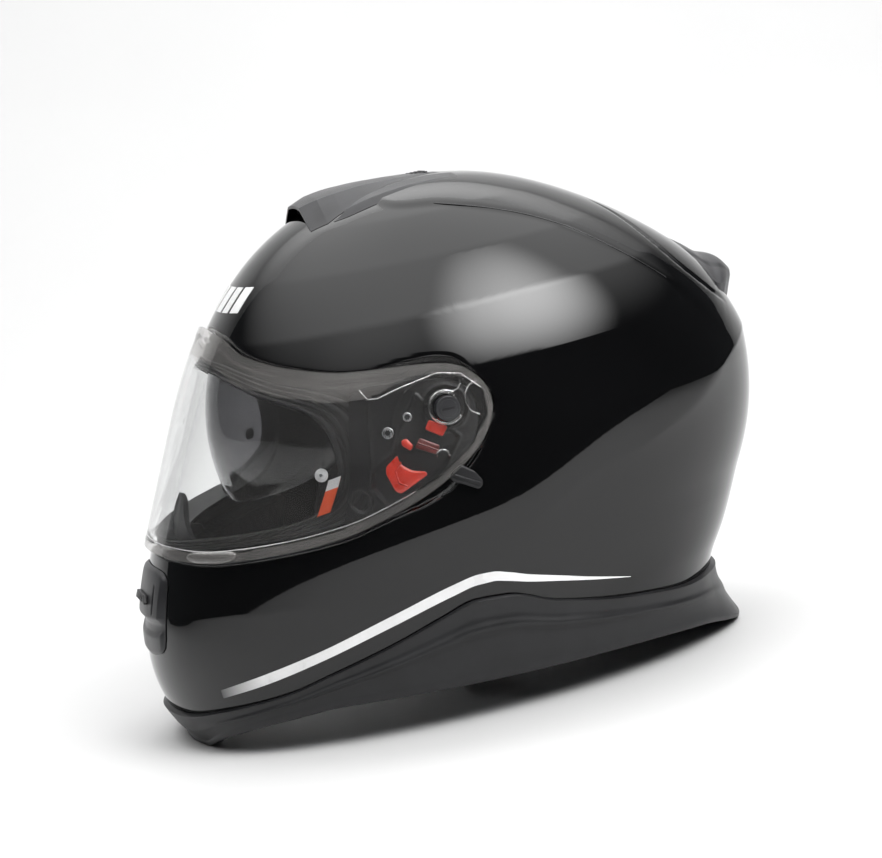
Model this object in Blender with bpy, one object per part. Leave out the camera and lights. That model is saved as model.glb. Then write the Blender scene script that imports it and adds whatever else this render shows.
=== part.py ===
"""A full-face motorcycle helmet standing on its lower rim, front toward -Y, rider's left toward +X.

The outer surface is one lofted form.  A point on it is named by `down`, 0 at the crown and 1 at the
lower edge, and by `turn`, degrees round the head from 0 at the chin to 180 at the nape, positive on
the left.  Every wall, plate and pad that follows the head is a piece of that form, offset along its
normal.  Tables are in millimetres; everything made from them is in metres.
"""
import math

import bmesh
import bpy
import numpy as np
from mathutils import Matrix, Vector

MM = 0.001
# the tables' origin lies this far ahead of the middle of the whole helmet
FORE_AFT = 3.4

# the middle section, (y, z), from the chin's lower edge over the crown to the nape's lower edge
MIDDLE_SECTION = [
    (-163, 5), (-170.5, 16), (-176.9, 40), (-173.3, 71), (-164, 101), (-147, 140), (-129.5, 178),
    (-108, 213), (-78.5, 242.5), (-40, 261), (2, 265.5), (44, 260.5), (87.5, 242.5), (129, 214),
    (158.5, 182), (172, 146), (169.5, 110.5), (156, 79), (138.5, 53), (129, 37.5), (125, 20), (123, 5)]
CROWN = 10
# half width at each step down, and where the widest point lies fore and aft
HALF_WIDTHS = [0, 34, 63, 87, 105, 117, 123.5, 125, 122.5, 117.5, 112]
WIDEST_AT = [6, 6, 7, 8, 8, 8, 8, 0, -8, -14, -20]
SQUARENESS = (2.1, 2.25)

SHELL_THICK = 4.5
EPS_OUT = -SHELL_THICK - 1.8
EPS_IN = -38.0
PAD_IN = -44.0

# eye port and visor: (turn, upper edge down, lower edge down)
EYE_PORT = [(0, 0.425, 0.70), (14, 0.43, 0.697), (26, 0.447, 0.692), (38, 0.473, 0.688),
            (46, 0.49, 0.684), (51, 0.505, 0.68), (55, 0.528, 0.672), (57.5, 0.56, 0.655),
            (58.5, 0.60, 0.63)]
VISOR = [(0, 0.375, 0.712), (15, 0.385, 0.715), (31, 0.42, 0.72), (47, 0.45, 0.715),
         (60, 0.47, 0.705), (72, 0.477, 0.672), (77, 0.482, 0.655), (81, 0.49, 0.628),
         (84, 0.507, 0.60), (86, 0.53, 0.575)]
BASE_PLATE = [(59.5, 0.50, 0.685), (63, 0.492, 0.68), (72, 0.495, 0.655), (78, 0.503, 0.632),
              (82, 0.517, 0.607), (84, 0.54, 0.575)]
POCKET_DEEP = 3.0
VISOR_OUT = 4.0
VISOR_IN = 2.0

# hinge lines, (y, z), parallel to X
VISOR_HINGE = (-23, 158)
SUN_HINGE = (-24, 147)
SUN_RADIUS = 100.0
SUN_HALF_WIDTH = 88.0

GLOSS_BLACK = (0.012, 0.012, 0.013)
SATIN_BLACK = (0.035, 0.035, 0.037)
RED = (0.75, 0.06, 0.03)


# ---------------------------------------------------------------- the form

def smooth_curve(points):
    """Natural cubic spline through points; returns the function and the knots' distances."""
    p = np.array(points, float)
    knots = np.concatenate([[0], np.cumsum(np.sqrt((np.diff(p, axis=0) ** 2).sum(1)))])
    steps = np.diff(knots)
    size = len(knots)
    system = np.eye(size)
    bends = np.zeros_like(p)
    for i in range(1, size - 1):
        system[i, i - 1:i + 2] = steps[i - 1], 2 * (steps[i - 1] + steps[i]), steps[i]
        bends[i] = 6 * ((p[i + 1] - p[i]) / steps[i] - (p[i] - p[i - 1]) / steps[i - 1])
    m = np.linalg.solve(system, bends)

    def at(s):
        s = np.clip(np.asarray(s, float), 0, knots[-1])
        i = np.clip(np.searchsorted(knots, s, side='right') - 1, 0, size - 2)
        h = steps[i][..., None]
        before = (s - knots[i])[..., None]
        after = (knots[i + 1] - s)[..., None]
        cubic = (m[i] * after ** 3 + m[i + 1] * before ** 3) / (6 * h)
        return cubic + (p[i] / h - m[i] * h / 6) * after + (p[i + 1] / h - m[i + 1] * h / 6) * before
    return at, knots


SECTION_AT, SECTION_KNOTS = smooth_curve(MIDDLE_SECTION)
STEPS = np.linspace(0, 1, len(HALF_WIDTHS))
WIDTH_AT, WIDTH_KNOTS = smooth_curve(list(zip(STEPS, HALF_WIDTHS)))
WIDEST_CURVE, WIDEST_KNOTS = smooth_curve(list(zip(STEPS, WIDEST_AT)))


def form(down, turn):
    """Points of the outer surface, in millimetres."""
    down, turn = np.broadcast_arrays(np.asarray(down, float), np.radians(turn))
    crown, nape = SECTION_KNOTS[CROWN], SECTION_KNOTS[-1]
    front = SECTION_AT(crown * (1 - down))
    back = SECTION_AT(crown + (nape - crown) * down)
    across = back - front
    length = np.sqrt((across ** 2).sum(-1)) + 1e-9
    half_width = WIDTH_AT(np.interp(down, STEPS, WIDTH_KNOTS))[..., 1]
    widest = WIDEST_CURVE(np.interp(down, STEPS, WIDEST_KNOTS))[..., 1]
    share = np.clip((widest - front[..., 0]) / (across[..., 0] + 1e-9), 0.2, 0.8)
    ahead, behind = share * length, (1 - share) * length
    toward_front = (1 + np.cos(turn)) / 2
    square = 2 + ((SQUARENESS[0] - 2) * toward_front + (SQUARENESS[1] - 2) * (1 - toward_front)) \
        * np.clip(down / 0.4, 0, 1)
    reach = (np.abs(np.cos(turn)) ** square + np.abs(np.sin(turn)) ** square) ** (1 / square)
    fore, side = np.cos(turn) / reach, np.sin(turn) / reach
    along = -fore * (ahead + behind) / 2 - (ahead - behind) / 2 * fore ** 2
    yz = front + across / length[..., None] * (ahead + along)[..., None]
    return np.stack([half_width * side, yz[..., 0], yz[..., 1]], -1)


def normals(down, turn):
    """Outward unit normals of the form."""
    down, turn = np.broadcast_arrays(np.asarray(down, float), np.asarray(turn, float))
    down = np.clip(down, 0.02, None)
    lean = form(down + 0.004, turn) - form(down - 0.004, turn)
    round_head = form(down, turn + 0.5) - form(down, turn - 0.5)
    n = np.cross(lean, round_head)
    n /= np.linalg.norm(n, axis=-1, keepdims=True)
    return n


def surface(down, turn, out=0.0):
    """Points of the form moved `out` millimetres along its normal, in metres."""
    return (form(down, turn) + normals(down, turn) * np.asarray(out)[..., None]) * MM


def wrapped(turn):
    """The turn from the chin either way round, 0 to 180."""
    return np.abs((np.asarray(turn, float) + 180) % 360 - 180)


def edges(table, turn, grow=0.0):
    """Upper and lower edges of an outline table at a turn, spread apart by `grow`."""
    t = np.array(table)
    return np.interp(turn, t[:, 0], t[:, 1]) - grow, np.interp(turn, t[:, 0], t[:, 2]) + grow


# ---------------------------------------------------------------- scene helpers

def clear_scene():
    for ob in list(bpy.data.objects):
        bpy.data.objects.remove(ob, do_unlink=True)


def make_collection(name):
    col = bpy.data.collections.new(name)
    bpy.context.scene.collection.children.link(col)
    return col


clear_scene()
PARTS = make_collection("helmet")
CUTTERS = make_collection("cutters")
MATERIALS = {}


def material(name, color, rough, metal=0.0, alpha=1.0):
    if name not in MATERIALS:
        mat = bpy.data.materials.new(name)
        mat.use_nodes = True
        shader = mat.node_tree.nodes["Principled BSDF"]
        shader.inputs["Base Color"].default_value = (*color, 1)
        shader.inputs["Roughness"].default_value = rough
        shader.inputs["Metallic"].default_value = metal
        shader.inputs["Alpha"].default_value = alpha
        MATERIALS[name] = mat
    return MATERIALS[name]


def finish_mesh(name, bm, mat, smooth=35):
    """Turn a bmesh into a named part with outward normals."""
    bmesh.ops.recalc_face_normals(bm, faces=bm.faces)
    mesh = bpy.data.meshes.new(name)
    bm.to_mesh(mesh)
    bm.free()
    ob = bpy.data.objects.new(name, mesh)
    if mat is None:
        CUTTERS.objects.link(ob)
        ob.hide_render = True
        ob.display_type = 'WIRE'
    else:
        PARTS.objects.link(ob)
        mesh.materials.append(mat)
    for poly in mesh.polygons:
        poly.use_smooth = True
    mesh.set_sharp_from_angle(angle=math.radians(smooth))
    return ob


def boolean(ob, cutter, operation='DIFFERENCE'):
    mod = ob.modifiers.new(cutter.name, 'BOOLEAN')
    mod.solver = 'EXACT'
    mod.operation = operation
    mod.object = cutter


def skin(name, rows, mat, closed_round):
    """Closed body from two grids of points: rows[0] outside, rows[1] inside, same size."""
    bm = bmesh.new()
    grids = [[[bm.verts.new(p) for p in line] for line in grid] for grid in rows]
    lines, count = len(rows[0]), len(rows[0][0])
    spans = count if closed_round else count - 1
    for grid in grids:
        for i in range(lines - 1):
            for j in range(spans):
                k = (j + 1) % count
                bm.faces.new((grid[i][j], grid[i][k], grid[i + 1][k], grid[i + 1][j]))
    outer, inner = grids
    for i in (0, lines - 1):
        for j in range(spans):
            k = (j + 1) % count
            bm.faces.new((outer[i][j], outer[i][k], inner[i][k], inner[i][j]))
    if not closed_round:
        for j in (0, count - 1):
            for i in range(lines - 1):
                bm.faces.new((outer[i][j], outer[i + 1][j], inner[i + 1][j], inner[i][j]))
    return finish_mesh(name, bm, mat)


def patch(name, table, out, inn, mat, rows=8, columns=24, turns=None, grow=0.0):
    """A piece of the form inside an outline table, between two offsets."""
    first, last = turns if turns else (-table[-1][0], table[-1][0])
    knots = np.array([k for k, *_ in table])
    knots = np.concatenate([-knots, knots, 360 - knots])
    knots = knots[(knots > first) & (knots < last)]
    turn = np.linspace(first, last, columns + 1)
    near = np.abs(turn[:, None] - knots[None, :]).min(1) < 0.3 * (last - first) / columns \
        if len(knots) else np.zeros(len(turn), bool)
    near[[0, -1]] = False
    turn = np.unique(np.concatenate([turn[~near], knots]))
    top, low = edges(table, wrapped(turn), grow)
    share = np.linspace(0, 1, rows + 1)[:, None]
    down = top[None, :] + (low - top)[None, :] * share
    both = np.broadcast_to(turn, down.shape)
    return skin(name, [surface(down, both, np.full(down.shape, v)) for v in (out, inn)], mat, False)


def dome(name, out, inn, ends, mat, rings=16, around=36, shape=None):
    """A bowl following the form from the crown down to the fraction `ends(turn)`."""
    turn = np.linspace(-180, 180, around + 1)[:-1]
    share = (np.linspace(0, 1, rings + 1)[1:]) ** 0.9
    down = share[:, None] * ends(turn)[None, :]
    both = np.broadcast_to(turn, down.shape)
    bm = bmesh.new()
    grids, poles = [], []
    for index, offset in enumerate((out, inn)):
        points = surface(down, both, np.full(down.shape, offset))
        crown = (Vector((0, *MIDDLE_SECTION[CROWN])) + Vector((0, 0, offset))) * MM
        if shape and index == 0:
            points = shape(points)
            crown = Vector(shape(np.array(crown)))
        grids.append([[bm.verts.new(p) for p in line] for line in points])
        poles.append(bm.verts.new(crown))
    for grid, pole in zip(grids, poles):
        for j in range(around):
            k = (j + 1) % around
            bm.faces.new((pole, grid[0][j], grid[0][k]))
            for i in range(rings - 1):
                bm.faces.new((grid[i][j], grid[i][k], grid[i + 1][k], grid[i + 1][j]))
    for j in range(around):
        k = (j + 1) % around
        bm.faces.new((grids[0][-1][j], grids[0][-1][k], grids[1][-1][k], grids[1][-1][j]))
    return finish_mesh(name, bm, mat)


def frame_at(down, turn, out=0.0):
    """A matrix on the form: X toward the back along the surface, Y up, Z outward."""
    place = Vector(surface(np.array(down), np.array(turn), np.array(out)))
    z = Vector(normals(np.array(down), np.array(turn)))
    y = (Vector((0, 0, 1)) - z * z.z).normalized()
    x = y.cross(z)
    return Matrix(((x.x, y.x, z.x, place.x), (x.y, y.y, z.y, place.y), (x.z, y.z, z.z, place.z),
                   (0, 0, 0, 1)))


def prism(name, outline, low, high, matrix, mat, bevel=0.0):
    """Extrude a flat outline (mm) from low to high (mm) along the matrix's Z."""
    bm = bmesh.new()
    face = bm.faces.new([bm.verts.new((x * MM, y * MM, low * MM)) for x, y in outline])
    made = bmesh.ops.extrude_face_region(bm, geom=[face])
    verts = [v for v in made['geom'] if isinstance(v, bmesh.types.BMVert)]
    bmesh.ops.translate(bm, verts=verts, vec=(0, 0, (high - low) * MM))
    if bevel:
        bmesh.ops.bevel(bm, geom=bm.edges[:], offset=bevel * MM, segments=1, affect='EDGES')
    bmesh.ops.transform(bm, matrix=matrix, verts=bm.verts)
    return finish_mesh(name, bm, mat)


def circle(radius, count=20, squash=1.0):
    angles = [2 * math.pi * i / count for i in range(count)]
    return [(radius * math.cos(a), radius * squash * math.sin(a)) for a in angles]


def mirror_x(ob, name):
    """An own copy of a left-hand part for the right-hand side."""
    mesh = ob.data.copy()
    mesh.transform(Matrix.Scale(-1, 4, (1, 0, 0)))
    mesh.flip_normals()
    copy = bpy.data.objects.new(name, mesh)
    PARTS.objects.link(copy)
    for mod in ob.modifiers:
        boolean(copy, mod.object, mod.operation)
    return copy


# ---------------------------------------------------------------- materials

SHELL_PAINT = material("gloss_black", GLOSS_BLACK, 0.12)
TRIM = material("satin_black", SATIN_BLACK, 0.5)
FOAM = material("black_foam", (0.02, 0.02, 0.02), 0.95)
FABRIC = material("black_fabric", (0.03, 0.03, 0.032), 0.9)
RUBBER = material("black_rubber", (0.02, 0.02, 0.02), 0.7)
CLEAR = material("clear_plastic", (0.9, 0.92, 0.93), 0.05, alpha=0.2)
SMOKE = material("smoke_plastic", (0.1, 0.1, 0.11), 0.08, alpha=0.6)
RED_PLASTIC = material("red_plastic", RED, 0.3)
WHITE = material("white_film", (0.85, 0.85, 0.85), 0.4)
WHITE_PLASTIC = material("white_plastic", (0.85, 0.85, 0.85), 0.35)
ORANGE = material("orange_tab", (0.8, 0.12, 0.04), 0.4)
STEEL = material("steel", (0.6, 0.6, 0.62), 0.25, metal=1.0)
WEBBING = material("black_webbing", (0.025, 0.025, 0.025), 0.9)


# height of the lower edge above the table at each turn, and the trim's upper edge
EDGE_TURNS = [0, 14, 27, 38, 46, 60, 75, 90, 118, 139, 152, 165, 180]
EDGE_HEIGHTS = [0, 0, 7, 12.5, 16, 20, 19.5, 18.5, 16, 11, 5, 0, 0]
TRIM_TURNS = [0, 14, 33, 48, 57, 70, 78, 84, 90, 100, 119, 141, 152, 165, 180]
TRIM_HEIGHTS = [20, 19.5, 24, 30, 37, 48, 56, 61, 60, 51, 41, 35, 35, 34, 33]
FLARE_TURNS = [0, 110, 140, 160, 180]
FLARES = [4.0, 4.5, 9, 16, 18]
TRIM_OUT = 3.4
TRIM_IN = 1.6
RIM_ABOVE_EDGE = 5.0
LEDGE = 0.7
DOWN_STEPS = np.linspace(0.5, 1, 120)


def down_at_height(height, turn):
    """How far down the form lies at a height, for arrays of turns."""
    heights = form(DOWN_STEPS[:, None], np.asarray(turn, float)[None, :])[..., 2]
    return np.array([np.interp(-h, -heights[:, i], DOWN_STEPS) for i, h in enumerate(height)])


def edge_height(turn):
    return np.interp(wrapped(turn), EDGE_TURNS, EDGE_HEIGHTS)


def rim_down(turn):
    turn = np.atleast_1d(np.asarray(turn, float))
    return down_at_height(edge_height(turn) + RIM_ABOVE_EDGE, wrapped(turn))


# ---------------------------------------------------------------- shell, foam and pads

EYE_CUT = patch("cut_eye_port", EYE_PORT, 15, -25, None, rows=2, columns=18)
POCKET_CUT = patch("cut_visor_pocket", VISOR, 15, -POCKET_DEEP, None, rows=6, columns=28,
                   turns=(-87.5, 87.5), grow=0.006)
CHIN_SLOT = patch("cut_chin_slot", [(0, 0.81, 0.835), (9, 0.81, 0.835)], 15, -5.2, None, 1, 2)


def box(name, low, high, mat, bevel=0.0):
    """Axis-aligned block between two corners in millimetres."""
    outline = [(low[0], low[1]), (high[0], low[1]), (high[0], high[1]), (low[0], high[1])]
    return prism(name, outline, low[2], high[2], Matrix.Identity(4), mat, bevel)


def rod(name, radius, center, low, high, mat, count=20):
    """Cylinder along X between two X values, center = (y, z), in millimetres."""
    along_x = Matrix(((0, 0, 1, 0), (1, 0, 0, center[0] * MM), (0, 1, 0, center[1] * MM),
                      (0, 0, 0, 1)))
    return prism(name, circle(radius, count), low, high, along_x, mat)


def build_shell():
    shell = dome("outer_shell", 0, -SHELL_THICK, rim_down, SHELL_PAINT, rings=16, around=56)
    boolean(shell, EYE_CUT)
    boolean(shell, POCKET_CUT)
    boolean(shell, CHIN_SLOT)
    for index, x in enumerate((-18, 18)):
        boolean(shell, box(f"cut_intake_{index}", (x - 7, -44, 235), (x + 7, -38, 275), None))


def clear_of_sun_visor(points):
    """Pull the foam's outside in, ahead of the ears, so that the sun visor can swing over it."""
    center = np.array((0, *SUN_HINGE)) * MM
    away = points - center
    size = np.array((SUN_HALF_WIDTH - 3, SUN_RADIUS - 4, SUN_RADIUS - 4)) * MM
    scale = np.minimum(1, 1 / np.sqrt(((away / size) ** 2).sum(-1) + 1e-9))
    weight = np.clip((0.005 - points[..., 1]) / 0.02, 0, 1)
    weight = weight * np.clip((points[..., 2] - 0.085) / 0.025, 0, 1)
    return center + away * (1 + (scale - 1) * weight)[..., None]


def liner_end(turn):
    """The crown foam ends above the ears, where the cheek pads reach out to the shell."""
    behind = np.clip((np.abs(wrapped(turn)) - 114) / 14, 0, 1)
    return 0.50 + (rim_down(turn) - 0.56) * behind * behind * (3 - 2 * behind)


def build_foam():
    liner = dome("eps_liner", EPS_OUT, EPS_IN, liner_end, FOAM, rings=15, around=40,
                 shape=clear_of_sun_visor)
    face_cut = patch("cut_foam_face", [(0, 0.39, 0.96), (40, 0.44, 0.96), (62, 0.48, 0.96)],
                     4, -46, None, rows=8, columns=14)
    boolean(liner, face_cut)
    patch("eps_chin", [(0, 0.728, 0.94), (30, 0.728, 0.93), (50, 0.72, 0.905), (60.5, 0.715, 0.89)],
          EPS_OUT, -22, FOAM, rows=4, columns=14)


CHEEK_PAD = [(65, 0.63, 0.86), (75, 0.60, 0.865), (100, 0.60, 0.86), (112, 0.63, 0.85)]


def build_pads():
    inside = EPS_IN - 2.0
    dome("crown_pad", inside - 1.0, PAD_IN - 1.0, lambda t: 0.36 - 0.02 * np.cos(np.radians(t)), FABRIC,
         rings=6, around=24)
    for side, name in ((1, "left"), (-1, "right")):
        cheek = patch(f"cheek_pad_{name}", CHEEK_PAD, inside, -56, FABRIC, 4, 6,
                      turns=sorted((side * 65, side * 112)))
        core = patch(f"cut_cheek_core_{name}", [(68, 0.69, 0.80), (109, 0.69, 0.80)], EPS_OUT,
                     inside - 3, None, 2, 4, turns=sorted((side * 68, side * 109)))
        boolean(cheek, core, 'UNION')
    patch("neck_roll", [(0, 0.83, 0.90), (130, 0.82, 0.90), (180, 0.80, 0.91)], inside, -46, FABRIC,
          2, 12, turns=(125, 235))
    patch("chin_curtain", [(0, 0.95, 0.98), (25, 0.945, 0.965), (48, 0.925, 0.94)], -6.6, -20, FABRIC,
          1, 12)


# ---------------------------------------------------------------- face opening

def build_face():
    gasket = patch("eyeport_gasket", EYE_PORT, 0.3, -4.6, RUBBER, rows=2, columns=18,
                   turns=(-58.0, 58.0), grow=-0.0028)
    inner = patch("cut_gasket", EYE_PORT, 6, -16, None, rows=2, columns=18,
                  turns=(-56.2, 56.2), grow=-0.011)
    boolean(gasket, inner)
    patch("breath_guard", [(0, 0.625, 0.724), (10, 0.655, 0.724), (22, 0.695, 0.724),
                           (32, 0.71, 0.724)], -10, -12, RUBBER, 3, 12)


# ---------------------------------------------------------------- visor

def set_origin(ob, point):
    """Move an object's origin to a point in millimetres."""
    place = Vector(point) * MM
    ob.data.transform(Matrix.Translation(-place))
    ob.location = place


HINGE_X = float(surface(0.55, 78.0)[0]) / MM


def build_visor():
    visor = patch("visor", VISOR, VISOR_OUT, VISOR_IN, CLEAR, rows=6, columns=30)
    tab = patch("lift_tab_tool", [(25, 0.702, 0.718), (38, 0.704, 0.721)], 6.5, 3, None, 1, 3,
                turns=(25, 38))
    boolean(visor, tab, 'UNION')
    for side in (-1, 1):
        low, high = sorted((side * 100, side * 140))
        hole = rod(f"cut_hub_{side}", 6.6, VISOR_HINGE, low, high, None, 24)
        boolean(visor, hole)
    pin = prism("visor_pin_left", circle(3.4, 16), -0.2, 1.2, frame_at(0.608, 54), WHITE_PLASTIC, 0.3)
    tab = patch("pin_tab_left", [(56.0, 0.613, 0.668), (58.4, 0.609, 0.672)], 1.2, 0.9, ORANGE, 2, 1,
                turns=(56.0, 58.4))
    pin_right = mirror_x(pin, "visor_pin_right")
    for ob in (visor, pin, pin_right, tab):
        set_origin(ob, (0, *VISOR_HINGE))


LATCH_OUTLINE = [(-3, 10), (-8.5, 4.5), (-9, 1), (-6.5, -8), (-3, -11), (1, -10), (9, -4), (9, 0),
                 (4, 0), (0, 3)]
DETENT_OUTLINE = [(-7, -3), (2, -7), (8, -7), (9, -2), (3, 1), (-5, 2.5)]


def build_visor_side():
    """Left-hand mechanism, each piece copied to the right."""
    made = [
        patch("visor_base_left", BASE_PLATE, -0.6, -2.6, TRIM, 3, 9, turns=(59.5, 84)),
        rod("pivot_hub_left", 6.2, VISOR_HINGE, HINGE_X + 1.2, HINGE_X + 6.2, TRIM, 24),
        prism("visor_latch_left", LATCH_OUTLINE, -0.3, 0.8, frame_at(0.624, 70.3), RED_PLASTIC),
        prism("detent_arm_left", DETENT_OUTLINE, -0.3, 0.5, frame_at(0.592, 76), RED_PLASTIC),
        prism("lock_block_left", [(-6, -1.2), (2.5, -1.6), (3, 2), (-5.5, 3)], -0.3, 0.8,
              frame_at(0.573, 76.2), RED_PLASTIC),
        prism("stop_block_left", [(-3, -3), (1, -4), (3.5, 0), (-1, 4)], -0.3, 0.8,
              frame_at(0.584, 71.0), RED_PLASTIC),
        prism("plate_screw_front_left", circle(2.9, 12), -0.3, 0.7, frame_at(0.563, 68), STEEL),
        prism("plate_screw_rear_left", circle(2.4, 12), -0.3, 0.7, frame_at(0.545, 72), STEEL),
    ]
    latch_axis = frame_at(0.606, 72.0).translation / MM
    for ob in made:
        copy = mirror_x(ob, ob.name.replace("left", "right"))
        if ob.name.startswith("visor_latch"):
            set_origin(ob, latch_axis)
            set_origin(copy, Vector((-latch_axis.x, latch_axis.y, latch_axis.z)))


# ---------------------------------------------------------------- sun visor

SUN_LOWER = [(0, -11), (5, -14.5), (8, -16), (20, -16.5), (39, -16), (55, -14), (66, -6), (73, 0),
             (84, 5)]
SUN_UPPER = 50
SUN_WALL = 1.8


def build_sun_visor():
    spans = 24
    swing = np.linspace(-84, 84, spans + 1)
    low = np.interp(np.abs(swing), *zip(*SUN_LOWER))
    share = np.linspace(0, 1, 6)[:, None]
    angle = np.radians(SUN_UPPER + (low[None, :] - SUN_UPPER) * share)
    both = np.radians(np.broadcast_to(swing, angle.shape))

    def sheet(thin):
        radius = (SUN_RADIUS - thin) * np.cos(both)
        x = (SUN_HALF_WIDTH - thin) * np.sin(both)
        return np.stack([x, SUN_HINGE[0] - radius * np.cos(angle),
                         SUN_HINGE[1] + radius * np.sin(angle)], -1) * MM
    visor = skin("sun_visor", [sheet(0), sheet(SUN_WALL)], SMOKE, False)
    for side in (-1, 1):
        low, high = sorted((side * 86.0, side * 88.6))
        boolean(visor, rod(f"sun_ear_{side}", 11, SUN_HINGE, low, high, None, 20), 'UNION')
        low, high = sorted((side * 89.0, side * (HINGE_X - SHELL_THICK - 3.0)))
        name = "sun_stud_left" if side > 0 else "sun_stud_right"
        rod(name, 3.0, SUN_HINGE, low, high, STEEL, 12)
    set_origin(visor, (0, *SUN_HINGE))
    lever = prism("sun_lever", [(-5, 7), (6, -3.5), (3.5, -8.5), (-8.5, 1)], 0.7, 5.2,
                  frame_at(0.662, 81.5), TRIM, 1.0)
    set_origin(lever, frame_at(0.662, 81.5).translation / MM)


# ---------------------------------------------------------------- vents and trim

def along_x_matrix():
    return Matrix(((0, 0, 1, 0), (1, 0, 0, 0), (0, 1, 0, 0), (0, 0, 0, 1)))


BODY_CUT = dome("cut_over_form", 0.7, -32, lambda t: np.full(np.shape(t), 0.8), None, 18, 52)


def build_top_vent():
    side_view = [(-57, 258), (-57.5, 262.5), (-48, 266.5), (-24, 268.6), (10, 267.6), (30, 265.0),
                 (38, 262.4), (38, 250), (-57, 240)]
    vent = prism("top_vent_body", side_view, -46, 46, along_x_matrix(), TRIM)
    plan = [(-36, -53), (-12, -58), (12, -58), (36, -53), (43, -28), (38, -2), (26, 40), (-26, 40),
            (-38, -2), (-43, -28)]
    boolean(vent, prism("top_vent_plan", plan, 220, 290, Matrix.Identity(4), None), 'INTERSECT')
    boolean(vent, BODY_CUT)
    boolean(vent, box("cut_scoop", (-27, -70, 240), (27, -36, 263.4), None))
    boolean(vent, box("cut_slider_seat", (-9, 6, 266.6), (9, 28, 280), None))
    box("top_vent_slider", (-8.6, 6.4, 266.9), (8.6, 18.0, 268.4), TRIM, 0.3)


def build_rear_vent():
    side_view = [(118, 222), (126, 217.7), (148, 200.6), (157, 193), (164, 191), (173, 182.5),
                 (170, 174), (166.5, 169), (150, 176), (118, 205)]
    vent = prism("rear_vent_body", side_view, -46, 46, along_x_matrix(), TRIM)
    plan = [(-40, 117), (40, 117), (47, 140), (44, 160), (34, 175), (-34, 175), (-44, 160), (-47, 140)]
    boolean(vent, prism("rear_vent_plan", plan, 150, 240, Matrix.Identity(4), None), 'INTERSECT')
    boolean(vent, BODY_CUT)
    for index, x in enumerate((-17, 17)):
        boolean(vent, box(f"cut_exhaust_{index}", (x - 12, 163, 175.5), (x + 12, 185, 181.5), None))


def build_chin_vent():
    vent = patch("chin_vent_body", [(0, 0.737, 0.862), (11, 0.737, 0.862), (14, 0.745, 0.855)],
                 3.0, 0.5, TRIM, 5, 10)
    boolean(vent, CHIN_SLOT)
    face = frame_at(0.783, 0)
    slider = prism("chin_vent_slider", [(-14, -2.5), (14, -2.5), (11, 2.5), (-11, 2.5)], 3.6, 6.2,
                   face, TRIM, 0.6)
    set_origin(slider, face.translation / MM)


def build_trim():
    around = 60
    turn = np.linspace(-180, 180, around + 1)[:-1]
    flare = np.interp(wrapped(turn), FLARE_TURNS, FLARES)
    bottom = edge_height(turn)
    top_down = down_at_height(np.interp(wrapped(turn), TRIM_TURNS, TRIM_HEIGHTS), wrapped(turn))
    rim_low = rim_down(turn)

    def ring(share, out, height=None):
        down = top_down + (rim_low - top_down) * share
        points = surface(down, turn, np.broadcast_to(out, turn.shape))
        if height is not None:
            points = np.concatenate([points[:, :2], (height * MM)[:, None]], -1)
        return points
    ledge = bottom + RIM_ABOVE_EDGE - LEDGE
    outside = [ring(v, TRIM_OUT + (flare - TRIM_OUT) * v ** 1.5) for v in (0, 0.35, 0.7)]
    inside = [ring(v, TRIM_IN) for v in (0.7, 0.35, 0)]
    loops = outside + [ring(1, flare, bottom + 3), ring(1, flare - 1, bottom),
                       ring(1, -6.0, bottom), ring(1, -6.0, ledge), ring(1, TRIM_IN, ledge)] + inside
    bm = bmesh.new()
    verts = [[bm.verts.new(p) for p in loop] for loop in loops]
    for i in range(len(loops)):
        for j in range(around):
            a, b = verts[i], verts[(i + 1) % len(loops)]
            bm.faces.new((a[j], a[(j + 1) % around], b[(j + 1) % around], b[j]))
    finish_mesh("rim_trim", bm, TRIM)


# ---------------------------------------------------------------- strap and decoration

STRAP_PATH = [(80, 30), (76, 20), (64, 12.5), (44, 9.5), (17, 8.5)]
STRAP_Y = (-31, -9)


def build_strap():
    center, knots = smooth_curve(STRAP_PATH)
    points = center(np.linspace(0, knots[-1], 13))
    along = np.gradient(points, axis=0)
    along /= np.linalg.norm(along, axis=1, keepdims=True)
    side = np.stack([-along[:, 1], along[:, 0]], -1)

    def line(offset, y):
        p = points + side * offset
        return np.stack([p[:, 0], np.full(len(p), y), p[:, 1]], -1) * MM
    rows = [[line(0.9, y) for y in STRAP_Y], [line(-0.9, y) for y in STRAP_Y]]
    strap = skin("strap_left", rows, WEBBING, False)
    mirror_x(strap, "strap_right")
    anchor = prism("strap_anchor_left", [(-27, 24), (-13, 24), (-13, 36), (-27, 36)], 82, 103,
                   along_x_matrix(), STEEL)
    mirror_x(anchor, "strap_anchor_right")
    box("buckle_body", (-15.5, -33, 4.5), (15.5, -7, 12), STEEL, 0.8)
    lever = box("buckle_lever", (-13, -31, 12.6), (14, -9, 14.8), RED_PLASTIC, 0.5)
    set_origin(lever, (-13, -20, 13.7))


STRIPE = [(30, 0.905, 0.918), (45, 0.885, 0.899), (54, 0.867, 0.882), (70, 0.825, 0.84),
          (78, 0.805, 0.82), (85, 0.79, 0.805), (89, 0.79, 0.804), (100, 0.822, 0.834),
          (109, 0.842, 0.85), (117, 0.853, 0.857)]


def build_graphics():
    stripe = patch("stripe_left", STRIPE, 0.55, 0.3, WHITE, 1, 22, turns=(30, 117))
    mirror_x(stripe, "stripe_right")
    patch("forehead_badge", [(0, 0.30, 0.35), (19, 0.308, 0.352)], 0.55, 0.3, WHITE, 3, 8)


build_shell()
build_foam()
build_pads()
build_face()
build_visor()
build_visor_side()
build_sun_visor()
build_top_vent()
build_rear_vent()
build_chin_vent()
build_trim()
build_strap()
build_graphics()
for piece in list(PARTS.objects) + list(CUTTERS.objects):
    piece.location.y += FORE_AFT * MM
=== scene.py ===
import math

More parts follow.
